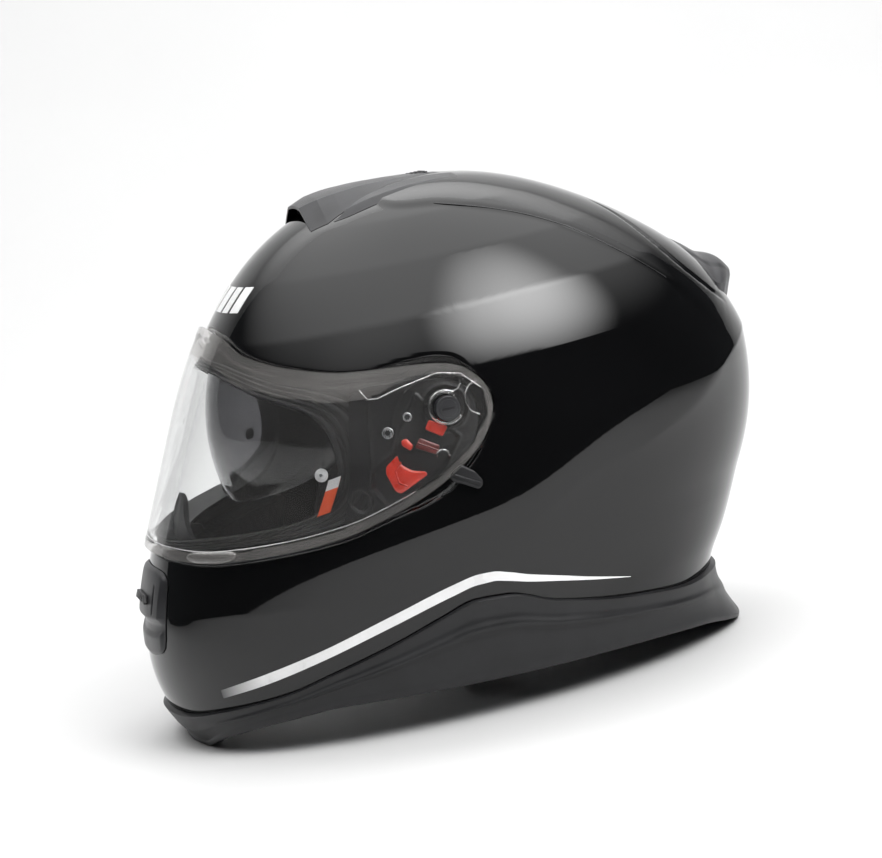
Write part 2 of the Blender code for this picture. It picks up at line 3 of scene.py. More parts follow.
import bmesh
import bpy
import numpy as np
from mathutils import Matrix, Vector
from mathutils.bvhtree import BVHTree


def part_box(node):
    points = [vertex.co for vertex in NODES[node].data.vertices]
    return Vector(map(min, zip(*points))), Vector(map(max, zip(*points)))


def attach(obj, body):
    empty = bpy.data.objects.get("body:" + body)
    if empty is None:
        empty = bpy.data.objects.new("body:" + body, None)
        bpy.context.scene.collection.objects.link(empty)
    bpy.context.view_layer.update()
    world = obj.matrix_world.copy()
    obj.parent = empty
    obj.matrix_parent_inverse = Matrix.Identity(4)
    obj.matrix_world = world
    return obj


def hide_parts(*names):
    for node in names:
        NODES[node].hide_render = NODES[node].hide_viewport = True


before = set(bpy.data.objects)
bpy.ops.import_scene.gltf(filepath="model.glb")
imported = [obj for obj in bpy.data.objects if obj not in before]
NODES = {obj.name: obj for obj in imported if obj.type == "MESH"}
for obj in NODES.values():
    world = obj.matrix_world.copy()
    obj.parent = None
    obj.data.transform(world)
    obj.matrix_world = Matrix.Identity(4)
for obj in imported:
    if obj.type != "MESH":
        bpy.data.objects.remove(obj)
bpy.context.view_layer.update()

MM = 0.001
# about how many millimetres of the form's surface a whole `down`, or one degree of turn, covers
DOWN_MM = 300
TURN_MM = 2.05
TAIL_TURN_MM = 2.1      # the same behind the visor's pivot
SIDES = ((1, "left"), (-1, "right"))

# ---------------------------------------------------------------- the helmet's form, in millimetres

# how far the form's tables lie ahead of the frame's origin
FORE_AFT = 3.4
MIDDLE_SECTION = [
    (-163, 5), (-170.5, 16), (-176.9, 40), (-173.3, 71), (-164, 101), (-147, 140), (-129.5, 178),
    (-108, 213), (-78.5, 242.5), (-40, 261), (2, 265.5), (44, 260.5), (87.5, 242.5), (129, 214),
    (158.5, 182), (172, 146), (169.5, 110.5), (156, 79), (138.5, 53), (129, 37.5), (125, 20), (123, 5)]
CROWN = 10
HALF_WIDTHS = [0, 34, 63, 87, 105, 117, 123.5, 125, 122.5, 117.5, 112]
WIDEST_AT = [6, 6, 7, 8, 8, 8, 8, 0, -8, -14, -20]
SQUARENESS = (2.1, 2.25)

# outlines on the form: (turn from the chin in degrees, upper edge, lower edge) as fractions down
EYE_PORT = [(0, 0.425, 0.70), (14, 0.43, 0.697), (26, 0.447, 0.692), (38, 0.473, 0.688),
            (46, 0.49, 0.684), (51, 0.505, 0.68), (55, 0.528, 0.672), (57.5, 0.56, 0.655),
            (58.5, 0.60, 0.63)]
EYE_END = 58.5
VISOR = [(0, 0.375, 0.712), (15, 0.385, 0.715), (31, 0.42, 0.72), (47, 0.45, 0.715),
         (60, 0.47, 0.705), (72, 0.477, 0.672), (77, 0.482, 0.655), (81, 0.49, 0.628),
         (84, 0.507, 0.60), (86, 0.53, 0.575)]
VISOR_END = 86.0
BASE_PLATE = [(59.5, 0.50, 0.685), (63, 0.492, 0.68), (72, 0.495, 0.655), (78, 0.503, 0.632),
              (82, 0.517, 0.607), (84, 0.54, 0.575)]
POCKET_DEEP = 3.0
SHELL_THICK = 4.5

# hinge lines, (y, z)
VISOR_HINGE = (-19.6, 158)
SUN_HINGE = (-20.6, 147)

# lower edge and trim
EDGE_TURNS = [0, 14, 27, 38, 46, 60, 75, 90, 118, 139, 152, 165, 180]
EDGE_HEIGHTS = [0, 0, 7, 12.5, 16, 20, 19.5, 18.5, 16, 11, 5, 0, 0]
TRIM_TURNS = [0, 14, 33, 48, 57, 70, 78, 84, 90, 100, 119, 141, 152, 165, 180]
TRIM_HEIGHTS = [20, 19.5, 24, 30, 37, 48, 56, 61, 60, 51, 41, 35, 35, 34, 33]
FLARE_TURNS = [0, 110, 140, 160, 180]
FLARES = [4.0, 4.5, 9, 16, 18]
RIM_ABOVE_EDGE = 5.0

# lines pressed into the shell: (down, turn)
CREST_EDGE = [(0.10, 52), (0.16, 68), (0.18, 89), (0.23, 110), (0.30, 124), (0.38, 131), (0.45, 136),
              (0.55, 142), (0.60, 148)]
SPINE_GROOVE = [(0.27, 160), (0.33, 152), (0.44, 145), (0.49, 148), (0.52, 155)]
CREASE_TURNS = [86, 95, 107, 114, 126, 142, 162, 180]
CREASE_DOWNS = [0.77, 0.73, 0.68, 0.67, 0.64, 0.59, 0.565, 0.56]


def spline(points):
    """Natural cubic spline through points; returns the function and the knots' distances."""
    p = np.array(points, float)
    knots = np.concatenate([[0], np.cumsum(np.sqrt((np.diff(p, axis=0) ** 2).sum(1)))])
    steps = np.diff(knots)
    size = len(knots)
    system = np.eye(size)
    bends = np.zeros_like(p)
    for i in range(1, size - 1):
        system[i, i - 1:i + 2] = steps[i - 1], 2 * (steps[i - 1] + steps[i]), steps[i]
        bends[i] = 6 * ((p[i + 1] - p[i]) / steps[i] - (p[i] - p[i - 1]) / steps[i - 1])
    m = np.linalg.solve(system, bends)

    def at(s):
        s = np.clip(np.asarray(s, float), 0, knots[-1])
        i = np.clip(np.searchsorted(knots, s, side='right') - 1, 0, size - 2)
        h = steps[i][..., None]
        before = (s - knots[i])[..., None]
        after = (knots[i + 1] - s)[..., None]
        cubic = (m[i] * after ** 3 + m[i + 1] * before ** 3) / (6 * h)
        return cubic + (p[i] / h - m[i] * h / 6) * after + (p[i + 1] / h - m[i + 1] * h / 6) * before
    return at, knots


def graph(xs, ys, flat_start=True):
    """A smooth function through a table of values that never overshoots them."""
    x, y = np.array(xs, float), np.array(ys, float)
    h = np.diff(x)
    slope = np.diff(y) / h
    m = np.zeros_like(y)
    same = slope[:-1] * slope[1:] > 0
    m[1:-1] = np.where(same, 2 * slope[:-1] * slope[1:] / (slope[:-1] + slope[1:] + 1e-12), 0)
    m[0] = 0 if flat_start else slope[0]
    m[-1] = slope[-1]

    def at(v):
        v = np.clip(np.asarray(v, float), x[0], x[-1])
        i = np.clip(np.searchsorted(x, v, side='right') - 1, 0, len(x) - 2)
        t = (v - x[i]) / h[i]
        rise = (1 + 2 * t) * (1 - t) ** 2 * y[i] + t * t * (3 - 2 * t) * y[i + 1]
        return rise + t * (1 - t) ** 2 * h[i] * m[i] + t * t * (t - 1) * h[i] * m[i + 1]
    return at


def ease(low, high, value):
    """0 below low, 1 above high, smooth between."""
    t = np.clip((np.asarray(value, float) - low) / (high - low), 0, 1)
    return t * t * (3 - 2 * t)


SECTION_AT, SECTION_KNOTS = spline(MIDDLE_SECTION)
STEPS = np.linspace(0, 1, len(HALF_WIDTHS))
WIDTH_AT, WIDTH_KNOTS = spline(list(zip(STEPS, HALF_WIDTHS)))
WIDEST_CURVE, WIDEST_KNOTS = spline(list(zip(STEPS, WIDEST_AT)))


def form(down, turn):
    """Points of the outer surface at fractions down from the crown and turns from the chin."""
    down, turn = np.broadcast_arrays(np.asarray(down, float), np.radians(turn))
    crown, nape = SECTION_KNOTS[CROWN], SECTION_KNOTS[-1]
    front = SECTION_AT(crown * (1 - down))
    back = SECTION_AT(crown + (nape - crown) * down)
    across = back - front
    length = np.sqrt((across ** 2).sum(-1)) + 1e-9
    half_width = WIDTH_AT(np.interp(down, STEPS, WIDTH_KNOTS))[..., 1]
    widest = WIDEST_CURVE(np.interp(down, STEPS, WIDEST_KNOTS))[..., 1]
    share = np.clip((widest - front[..., 0]) / (across[..., 0] + 1e-9), 0.2, 0.8)
    ahead, behind = share * length, (1 - share) * length
    toward_front = (1 + np.cos(turn)) / 2
    square = 2 + ((SQUARENESS[0] - 2) * toward_front + (SQUARENESS[1] - 2) * (1 - toward_front)) \
        * np.clip(down / 0.4, 0, 1)
    reach = (np.abs(np.cos(turn)) ** square + np.abs(np.sin(turn)) ** square) ** (1 / square)
    fore, side = np.cos(turn) / reach, np.sin(turn) / reach
    along = -fore * (ahead + behind) / 2 - (ahead - behind) / 2 * fore ** 2
    yz = front + across / length[..., None] * (ahead + along)[..., None]
    return np.stack([half_width * side, yz[..., 0] + FORE_AFT, yz[..., 1]], -1)


def normals(down, turn):
    """Outward unit normals of the form."""
    down, turn = np.broadcast_arrays(np.asarray(down, float), np.asarray(turn, float))
    down = np.clip(down, 0.02, None)
    lean = form(down + 0.004, turn) - form(down - 0.004, turn)
    round_head = form(down, turn + 0.5) - form(down, turn - 0.5)
    n = np.cross(lean, round_head)
    return n / np.linalg.norm(n, axis=-1, keepdims=True)


def surface(down, turn, out=0.0):
    """Points of the form moved `out` millimetres along its normal, in metres."""
    return (form(down, turn) + normals(down, turn) * np.asarray(out, float)[..., None]) * MM


def wrapped(turn):
    """A turn's distance from the chin, 0 to 180, the same on both sides."""
    return np.abs((np.asarray(turn, float) + 180) % 360 - 180)


def between(top, low, rows):
    """Rows of `down` from one edge to the other, and each row's share of the way."""
    share = np.linspace(0, 1, rows)[:, None]
    return top + (low - top) * share, share


def edge_curves(table):
    """Smooth upper and lower edges of an outline table."""
    turns, tops, lows = zip(*table)
    flat = turns[0] == 0
    return graph(turns, tops, flat), graph(turns, lows, flat)


def find(y, z):
    """(down, turn) of the form's points with these y and z on the left of the head."""
    y, z = np.asarray(y, float), np.asarray(z, float)
    down, turn = np.full(y.shape, 0.6), np.full(y.shape, 75.0)
    for _ in range(10):
        here = form(down, turn)
        by_down = (form(down + 0.002, turn) - here) / 0.002
        by_turn = (form(down, turn + 0.2) - here) / 0.2
        miss_y, miss_z = y - here[..., 1], z - here[..., 2]
        area = by_down[..., 1] * by_turn[..., 2] - by_turn[..., 1] * by_down[..., 2]
        down = down + (miss_y * by_turn[..., 2] - by_turn[..., 1] * miss_z) / area
        turn = turn + (by_down[..., 1] * miss_z - miss_y * by_down[..., 2]) / area
    return down, turn


DOWN_STEPS = np.linspace(0.5, 1, 240)


def down_at_height(height, turn):
    """How far down the form lies at a height, for arrays of turns."""
    heights = form(DOWN_STEPS[:, None], np.asarray(turn, float)[None, :])[..., 2]
    return np.array([np.interp(-h, -heights[:, i], DOWN_STEPS) for i, h in enumerate(height)])


EDGE_HEIGHT = graph(EDGE_TURNS, EDGE_HEIGHTS)
TRIM_HEIGHT = graph(TRIM_TURNS, TRIM_HEIGHTS)
FLARE = graph(FLARE_TURNS, FLARES)
EYE_TOP, EYE_LOW = edge_curves(EYE_PORT)
VISOR_TOP, VISOR_LOW = edge_curves(VISOR)


# ---------------------------------------------------------------- meshes

def add_object(name, data):
    ob = bpy.data.objects.new(name, data)
    bpy.context.scene.collection.objects.link(ob)
    return ob


def mesh_object(name, verts, faces, mat, sharp=35.0):
    mesh = bpy.data.meshes.new(name)
    mesh.from_pydata([tuple(v) for v in verts], [], faces)
    mesh.polygons.foreach_set("use_smooth", [True] * len(mesh.polygons))
    if sharp:
        mesh.set_sharp_from_angle(angle=math.radians(sharp))
    mesh.materials.append(mat)
    return add_object(name, mesh)


def finish_bmesh(name, bm, mat, sharp=35.0):
    bmesh.ops.recalc_face_normals(bm, faces=bm.faces)
    mesh = bpy.data.meshes.new(name)
    bm.to_mesh(mesh)
    bm.free()
    mesh.polygons.foreach_set("use_smooth", [True] * len(mesh.polygons))
    mesh.set_sharp_from_angle(angle=math.radians(sharp))
    mesh.materials.append(mat)
    return add_object(name, mesh)


def grid_faces(lines, count, start=0, round_=False, flip=False, skip=None):
    """Quads over a grid of lines x count points."""
    faces = []
    spans = count if round_ else count - 1
    for i in range(lines - 1):
        for j in range(spans):
            if skip is not None and skip[i, j]:
                continue
            k = (j + 1) % count
            a, b = start + i * count, start + (i + 1) * count
            quad = (a + j, b + j, b + k, a + k)
            faces.append(quad[::-1] if flip else quad)
    return faces


def slab(name, outer, inner, mat, sharp=35.0):
    """Closed body between two grids of points of the same size."""
    lines, count = outer.shape[:2]
    verts = np.concatenate([outer.reshape(-1, 3), inner.reshape(-1, 3)])
    size = lines * count
    faces = grid_faces(lines, count) + grid_faces(lines, count, size, flip=True)
    for i, turned in ((0, True), (lines - 1, False)):
        for j in range(count - 1):
            quad = (i * count + j, size + i * count + j, size + i * count + j + 1, i * count + j + 1)
            faces.append(quad[::-1] if turned else quad)
    for j, turned in ((0, False), (count - 1, True)):
        for i in range(lines - 1):
            quad = (i * count + j, size + i * count + j, size + (i + 1) * count + j, (i + 1) * count + j)
            faces.append(quad[::-1] if turned else quad)
    ob = mesh_object(name, verts, faces, mat, 0)
    outward(ob, sharp)
    across, along = np.meshgrid(np.linspace(0, 1, count), np.linspace(0, 1, lines))
    one = np.stack([across.ravel(), along.ravel()], -1)
    write_uv(ob, np.concatenate([one, one]))
    return ob


def face_outward(ob):
    bm = bmesh.new()
    bm.from_mesh(ob.data)
    bmesh.ops.delete(bm, geom=[v for v in bm.verts if not v.link_faces], context='VERTS')
    bmesh.ops.recalc_face_normals(bm, faces=bm.faces)
    bm.to_mesh(ob.data)
    bm.free()


def outward(ob, sharp):
    """Turn a closed body's faces outward and mark its sharp edges."""
    face_outward(ob)
    ob.data.set_sharp_from_angle(angle=math.radians(sharp))


def write_uv(ob, coords):
    layer = ob.data.uv_layers.new(name="UVMap")
    picks = np.zeros(len(ob.data.loops), int)
    ob.data.loops.foreach_get("vertex_index", picks)
    layer.data.foreach_set("uv", coords[picks].ravel())


def frame_at(down, turn):
    """A matrix on the form: X toward the back along the surface, Y up, Z outward."""
    place = Vector(surface(np.array(down), np.array(turn)))
    z = Vector(normals(np.array(down), np.array(turn)))
    y = (Vector((0, 0, 1)) - z * z.z).normalized()
    x = y.cross(z)
    return Matrix(((x.x, y.x, z.x, place.x), (x.y, y.y, z.y, place.y), (x.z, y.z, z.z, place.z),
                   (0, 0, 0, 1)))


def prism(name, outline, low, high, matrix, mat, bevel=0.0, segments=2):
    """A flat outline raised from low to high along the matrix's Z, with rounded edges."""
    bm = bmesh.new()
    face = bm.faces.new([bm.verts.new((x * MM, y * MM, low * MM)) for x, y in outline])
    made = bmesh.ops.extrude_face_region(bm, geom=[face])
    verts = [v for v in made['geom'] if isinstance(v, bmesh.types.BMVert)]
    bmesh.ops.translate(bm, verts=verts, vec=(0, 0, (high - low) * MM))
    if bevel:
        bmesh.ops.bevel(bm, geom=bm.edges[:], offset=bevel * MM, segments=segments,
                        affect='EDGES', profile=0.6)
    bmesh.ops.transform(bm, matrix=matrix, verts=bm.verts)
    return finish_bmesh(name, bm, mat)


def circle(radius, count):
    """Corners of a regular outline round the origin."""
    angles = np.radians(np.linspace(0, 360, count + 1))[:-1]
    return [(radius * math.cos(a), radius * math.sin(a)) for a in angles]


def rectangle(half_x, half_y, y=0.0):
    """Corners of a rectangle whose middle lies at (0, y)."""
    return [(-half_x, y - half_y), (half_x, y - half_y), (half_x, y + half_y), (-half_x, y + half_y)]


def tube(name, points, radius, mat, sides=8, flat=1.0):
    """A round bead swept along a line of points in metres."""
    p = np.array(points, float)
    ahead = np.roll(p, -1, 0) - np.roll(p, 1, 0)
    ahead[0], ahead[-1] = p[1] - p[0], p[-1] - p[-2]
    ahead /= np.linalg.norm(ahead, axis=1, keepdims=True)
    side = np.cross(ahead, (0.13, 0.21, 0.97))
    side /= np.linalg.norm(side, axis=1, keepdims=True)
    up = np.cross(side, ahead)
    angles = np.linspace(0, 2 * np.pi, sides + 1)[:-1]
    rings = p[:, None] + radius * MM * (np.cos(angles)[None, :, None] * side[:, None]
                                        + flat * np.sin(angles)[None, :, None] * up[:, None])
    verts = rings.reshape(-1, 3)
    count = len(p)
    faces = []
    for i in range(count - 1):
        for j in range(sides):
            m = (j + 1) % sides
            faces.append((i * sides + j, i * sides + m, (i + 1) * sides + m, (i + 1) * sides + j))
    faces.append(tuple(range(sides))[::-1])
    faces.append(tuple((count - 1) * sides + j for j in range(sides)))
    return mesh_object(name, verts, faces, mat, 60)


def join(name, *obs):
    """One object from several."""
    bm = bmesh.new()
    mats = []
    for ob in obs:
        for m in ob.data.materials:
            if m not in mats:
                mats.append(m)
    for ob in obs:
        before = len(bm.faces)
        bm.from_mesh(ob.data)
        bm.faces.ensure_lookup_table()
        places = [mats.index(m) for m in ob.data.materials]
        for f in bm.faces[before:]:
            f.material_index = places[f.material_index]
    mesh = bpy.data.meshes.new(name)
    bm.to_mesh(mesh)
    bm.free()
    for m in mats:
        mesh.materials.append(m)
    for ob in obs:
        bpy.data.objects.remove(ob, do_unlink=True)
    return add_object(name, mesh)


def to_right(ob):
    """Turn a piece made on the left into its mirror image."""
    ob.data.transform(Matrix.Scale(-1, 4, (1, 0, 0)))
    ob.data.flip_normals()


def place(ob, body, slot, *nodes):
    """Put a visual piece on its body, in place of the CAD nodes it stands for."""
    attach(ob, body)
    if nodes:
        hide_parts(*nodes)
    return ob


# ---------------------------------------------------------------- materials

class Paint:
    """A node material built a step at a time on one Principled shader."""

    def __init__(self, name, color, rough, metal=0.0):
        self.mat = bpy.data.materials.new(name)
        self.mat.use_nodes = True
        self.tree = self.mat.node_tree
        self.shader = self.tree.nodes["Principled BSDF"]
        self.color = color
        self.set("Base Color", (*color, 1))
        self.set("Roughness", rough)
        self.set("Metallic", metal)
        self.rough = rough
        self.height = None
        self.coords = self.tree.nodes.new("ShaderNodeTexCoord").outputs["Object"]

    def set(self, socket, value):
        self.shader.inputs[socket].default_value = value
        return self

    def link(self, a, b):
        self.tree.links.new(a, b)

    def node(self, kind, **values):
        made = self.tree.nodes.new(kind)
        for key, value in values.items():
            if hasattr(made, key):
                setattr(made, key, value)
            else:
                made.inputs[key.replace("_", " ")].default_value = value
        return made

    def noise(self, scale, detail=3.0, stretch=(1, 1, 1)):
        mapping = self.node("ShaderNodeMapping")
        mapping.inputs["Scale"].default_value = stretch
        self.link(self.coords, mapping.inputs["Vector"])
        made = self.node("ShaderNodeTexNoise", Scale=scale, Detail=detail)
        self.link(mapping.outputs["Vector"], made.inputs["Vector"])
        return made.outputs["Fac"]

    def ramp(self, source, low, high, start=0.0, end=1.0):
        made = self.node("ShaderNodeMapRange")
        made.inputs["From Min"].default_value = start
        made.inputs["From Max"].default_value = end
        made.inputs["To Min"].default_value = low
        made.inputs["To Max"].default_value = high
        self.link(source, made.inputs["Value"])
        return made.outputs["Result"]

    def math(self, operation, a, b):
        made = self.node("ShaderNodeMath", operation=operation)
        for socket, value in zip(made.inputs, (a, b)):
            if isinstance(value, (int, float)):
                socket.default_value = value
            else:
                self.link(value, socket)
        return made.outputs["Value"]

    def vary(self, scale, amount, rough_amount=0.0, stretch=(1, 1, 1), detail=4.0):
        """Uneven colour and roughness."""
        source = self.noise(scale, detail, stretch)
        mix = self.node("ShaderNodeMix", data_type='RGBA')
        dark = tuple(c * (1 - amount) for c in self.color)
        light = tuple(min(1, c * (1 + amount)) for c in self.color)
        mix.inputs["A"].default_value = (*dark, 1)
        mix.inputs["B"].default_value = (*light, 1)
        self.link(self.ramp(source, 0, 1, 0.3, 0.7), mix.inputs["Factor"])
        self.tone = mix.outputs["Result"]
        self.link(self.tone, self.shader.inputs["Base Color"])
        if rough_amount:
            spread = self.ramp(source, self.rough - rough_amount, self.rough + rough_amount, 0.3, 0.7)
            self.link(spread, self.shader.inputs["Roughness"])
        return self

    def bump(self, source, distance, strength=1.0):
        made = self.node("ShaderNodeBump", Strength=strength, Distance=distance)
        self.link(source, made.inputs["Height"])
        if self.height is not None:
            self.link(self.height, made.inputs["Normal"])
        self.height = made.outputs["Normal"]
        self.link(self.height, self.shader.inputs["Normal"])
        return self

    def weave(self, count_u, count_v, distance):
        """Crossing threads over the mesh's own UV map."""
        uv = self.tree.nodes.new("ShaderNodeTexCoord").outputs["UV"]
        parts = self.node("ShaderNodeSeparateXYZ")
        self.link(uv, parts.inputs["Vector"])
        warp = self.math('SINE', self.math('MULTIPLY', parts.outputs["X"], count_u * 2 * math.pi), 0)
        weft = self.math('SINE', self.math('MULTIPLY', parts.outputs["Y"], count_v * 2 * math.pi), 0)
        both = self.math('MULTIPLY', warp, weft)
        return self.bump(both, distance, 0.8)


def gloss_paint():
    p = Paint("gloss_black", (0.002, 0.002, 0.0022), 0.3)
    p.vary(14, 0.25, 0.02)
    p.set("Specular IOR Level", 0.0)
    p.set("Coat Weight", 1.0).set("Coat Roughness", 0.03).set("Coat IOR", 1.5)
    p.bump(p.noise(420, 2), 0.00002, 0.12)
    p.link(p.height, p.shader.inputs["Coat Normal"])
    return p.mat


def satin_plastic(name="satin_black", color=(0.011, 0.011, 0.012), rough=0.42, grain=2600):
    p = Paint(name, color, rough)
    p.set("Specular IOR Level", 0.4)
    p.vary(60, 0.3, 0.06)
    p.bump(p.noise(grain, 3), 0.00012, 0.35)
    p.bump(p.noise(90, 2), 0.0002, 0.15)
    return p.mat


def foam_material():
    p = Paint("black_foam", (0.016, 0.016, 0.017), 0.8)
    p.vary(250, 0.5, 0.1)
    cells = p.node("ShaderNodeTexVoronoi", Scale=330.0)
    p.link(p.coords, cells.inputs["Vector"])
    p.bump(cells.outputs["Distance"], 0.0006, 0.6)
    return p.mat


def fabric(name="black_fabric", color=(0.018, 0.018, 0.02), knit=900):
    p = Paint(name, color, 0.85)
    p.vary(120, 0.45, 0.08)
    p.set("Sheen Weight", 0.35).set("Sheen Roughness", 0.5)
    mesh = p.node("ShaderNodeTexVoronoi", Scale=float(knit))
    p.link(p.coords, mesh.inputs["Vector"])
    p.bump(mesh.outputs["Distance"], 0.0004, 0.7)
    p.bump(p.noise(45, 3), 0.0012, 0.4)
    return p.mat


def rubber():
    p = Paint("black_rubber", (0.014, 0.014, 0.015), 0.5)
    p.vary(200, 0.3, 0.08)
    p.bump(p.noise(1500, 3), 0.0001, 0.3)
    return p.mat


def guard_plastic():
    p = Paint("guard_rubber", (0.045, 0.045, 0.047), 0.55)
    p.vary(90, 0.25, 0.06)
    p.bump(p.noise(1700, 3), 0.0001, 0.3)
    return p.mat


def clear_plastic(name="clear_plastic", haze=0.05, tint=(0.985, 0.99, 0.99)):
    """Moulded clear plastic; `haze` is the share of light that the surface scatters."""
    p = Paint(name, tint, 0.0)
    p.set("Transmission Weight", 1.0).set("IOR", 1.45)
    p.link(p.ramp(p.noise(35, 4), 0.0, 0.03, 0.45, 0.8), p.shader.inputs["Roughness"])
    p.bump(p.noise(40, 2), 0.00004, 0.1)
    veil = p.node("ShaderNodeBsdfPrincipled")
    veil.inputs["Base Color"].default_value = (0.55, 0.53, 0.51, 1)
    veil.inputs["Roughness"].default_value = 0.35
    mix = p.node("ShaderNodeMixShader")
    p.link(p.ramp(p.noise(18, 3), haze * 0.7, haze * 1.3, 0.3, 0.7), mix.inputs["Fac"])
    p.link(p.shader.outputs["BSDF"], mix.inputs[1])
    p.link(veil.outputs["BSDF"], mix.inputs[2])
    p.link(mix.outputs["Shader"], p.tree.nodes["Material Output"].inputs["Surface"])
    return p.mat


def smoke_plastic():
    p = Paint("smoke_plastic", (0.30, 0.30, 0.31), 0.02)
    p.set("Transmission Weight", 1.0).set("IOR", 1.45)
    p.link(p.ramp(p.noise(30, 3), 0.0, 0.05, 0.4, 0.8), p.shader.inputs["Roughness"])
    p.bump(p.noise(25, 2), 0.00004, 0.1)
    return p.mat


def moulded(name, color, rough):
    p = Paint(name, color, rough)
    p.vary(130, 0.12, 0.05)
    p.set("Coat Weight", 0.4).set("Coat Roughness", 0.15)
    p.bump(p.noise(700, 3), 0.00008, 0.3)
    p.bump(p.noise(60, 2), 0.0003, 0.2)
    return p.mat


def film(name, color):
    p = Paint(name, color, 0.35)
    p.vary(80, 0.06, 0.05)
    p.set("Coat Weight", 0.6).set("Coat Roughness", 0.08)
    p.bump(p.noise(500, 2), 0.00003, 0.2)
    return p.mat


def faded_film():
    """White film that dissolves into the paint over its front end (the UV's first part)."""
    p = Paint("white_film", (0.82, 0.82, 0.82), 0.3)
    p.vary(80, 0.05, 0.04)
    p.set("Coat Weight", 1.0).set("Coat Roughness", 0.04)
    uv = p.tree.nodes.new("ShaderNodeTexCoord").outputs["UV"]
    parts = p.node("ShaderNodeSeparateXYZ")
    p.link(uv, parts.inputs["Vector"])
    fade = p.ramp(parts.outputs["X"], 0, 1, 0.0, 0.13)
    shade = p.node("ShaderNodeMix", data_type='RGBA')
    shade.inputs["A"].default_value = (0.008, 0.008, 0.009, 1)
    p.link(p.tone, shade.inputs["B"])
    p.link(fade, shade.inputs["Factor"])
    p.link(shade.outputs["Result"], p.shader.inputs["Base Color"])
    return p.mat


def brushed_steel():
    p = Paint("steel", (0.55, 0.55, 0.56), 0.28, 1.0)
    p.vary(300, 0.2, 0.08, stretch=(1, 12, 1))
    p.bump(p.noise(900, 3, (1, 20, 1)), 0.00005, 0.4)
    return p.mat


def webbing():
    p = Paint("black_webbing", (0.016, 0.016, 0.017), 0.75)
    p.vary(400, 0.4, 0.08)
    p.set("Sheen Weight", 0.3)
    p.weave(9, 70, 0.0006)
    return p.mat


GLOSS = gloss_paint()
SATIN = satin_plastic()
VENT_SATIN = satin_plastic("vent_satin", (0.024, 0.024, 0.026), 0.36, 3000)
FOAM = foam_material()
FABRIC = fabric()
LINING = fabric("cheek_lining", (0.028, 0.028, 0.03), 700)
RUBBER = rubber()
GUARD = guard_plastic()
CLEAR = clear_plastic("clear_plastic", 0.02)
FROSTED = clear_plastic("clear_frosted", 0.10, (0.85, 0.84, 0.83))
SMOKE = smoke_plastic()
RED = moulded("red_plastic", (0.80, 0.035, 0.012), 0.3)
DARK_RED = moulded("dark_red_plastic", (0.16, 0.012, 0.01), 0.35)
WHITE = moulded("white_plastic", (0.75, 0.75, 0.75), 0.35)
ORANGE = film("orange_tab", (0.85, 0.11, 0.03))
FILM = film("plain_white_film", (0.8, 0.8, 0.8))
STRIPE_FILM = faded_film()
STEEL = brushed_steel()
WEBBING = webbing()


# ---------------------------------------------------------------- shell

# spacing of the rows beside a sharp edge, as fractions down, and of the columns at the pocket's end
FINE_ROWS = np.array([0.0012, 0.0026, 0.0045, 0.007])
FINE_COLUMNS = np.array([-4, -3, -2.2, -1.6, -1.1, -0.6, -0.2, 0.2, 0.6, 1.1, 1.6, 2.2])
# rows between the guide lines: (count, fine at the start, fine at the end)
SHELL_ROWS = [(92, False, True), (9, True, False), (26, False, False), (9, False, True),
              (74, True, False)]
# room behind the hinge, where the opening visor's tail sweeps round
SWEEP_ROOM = 3.3


def to_path(down, turn, path):
    """Signed distance in mm from a path pressed into the form, and the share along it."""
    half = WIDTH_AT(np.interp(down, STEPS, WIDTH_KNOTS))[..., 1]
    per_turn = half * math.pi / 180
    curve, knots = spline([(d * 100, t) for d, t in path])
    line = curve(np.linspace(0, knots[-1], 40))
    best = np.full(np.shape(down), 1e9)
    sign = np.ones(np.shape(down))
    share = np.zeros(np.shape(down))
    for i in range(len(line) - 1):
        a0, b0 = line[i][0] / 100, line[i][1]
        a1, b1 = line[i + 1][0] / 100, line[i + 1][1]
        vx, vy = (b1 - b0) * per_turn, (a1 - a0) * DOWN_MM
        px, py = (turn - b0) * per_turn, (down - a0) * DOWN_MM
        t = np.clip((px * vx + py * vy) / (vx * vx + vy * vy + 1e-9), 0, 1)
        away = np.hypot(px - t * vx, py - t * vy)
        nearer = away < best
        best = np.where(nearer, away, best)
        sign = np.where(nearer, np.sign(vx * py - vy * px), sign)
        share = np.where(nearer, (i + t) / (len(line) - 1), share)
    return best * sign, share


def inside_visor(down, side):
    """Millimetres inside the visor's outline, negative outside."""
    above = (down - VISOR_TOP(np.minimum(side, VISOR_END))) * DOWN_MM
    below = (VISOR_LOW(np.minimum(side, VISOR_END)) - down) * DOWN_MM
    ahead = (VISOR_END - side) * TAIL_TURN_MM
    soft = 5.0
    stack = np.stack([above, below, ahead])
    low = stack.min(0)
    inside = low - soft * np.log(np.exp(-(stack - low) / soft).sum(0)) + soft * 0.15
    return inside + SWEEP_ROOM * ease(64, 78, side)


def relief(down, turn):
    """Height of the shell's moulded lines above the form, in mm."""
    side = wrapped(turn)
    edge, share = to_path(down, side, CREST_EDGE)
    # the crest stands above the side panels
    on_band = ease(40, 62, side) * (1 - ease(0.58, 0.63, down))
    crest = 1.2 * ease(2.6, -2.6, edge) * on_band * ease(1.0, 0.85, share)
    groove, along = to_path(down, side, SPINE_GROOVE)
    ends = ease(0, 0.12, along) * ease(1, 0.9, along)
    spine = -1.1 * np.exp(-(groove / 1.0) ** 2) * ends
    below = (down - CREASE_DOWN(side)) * DOWN_MM
    strength = ease(76, 104, side)
    fade = 1 - ease(0.76, 0.88, down)
    panel = -4.2 * (1 - np.exp(-np.maximum(below, 0) / 13.0)) * strength * fade
    return crest + spine + panel


CREASE_DOWN = graph(CREASE_TURNS, CREASE_DOWNS, False)


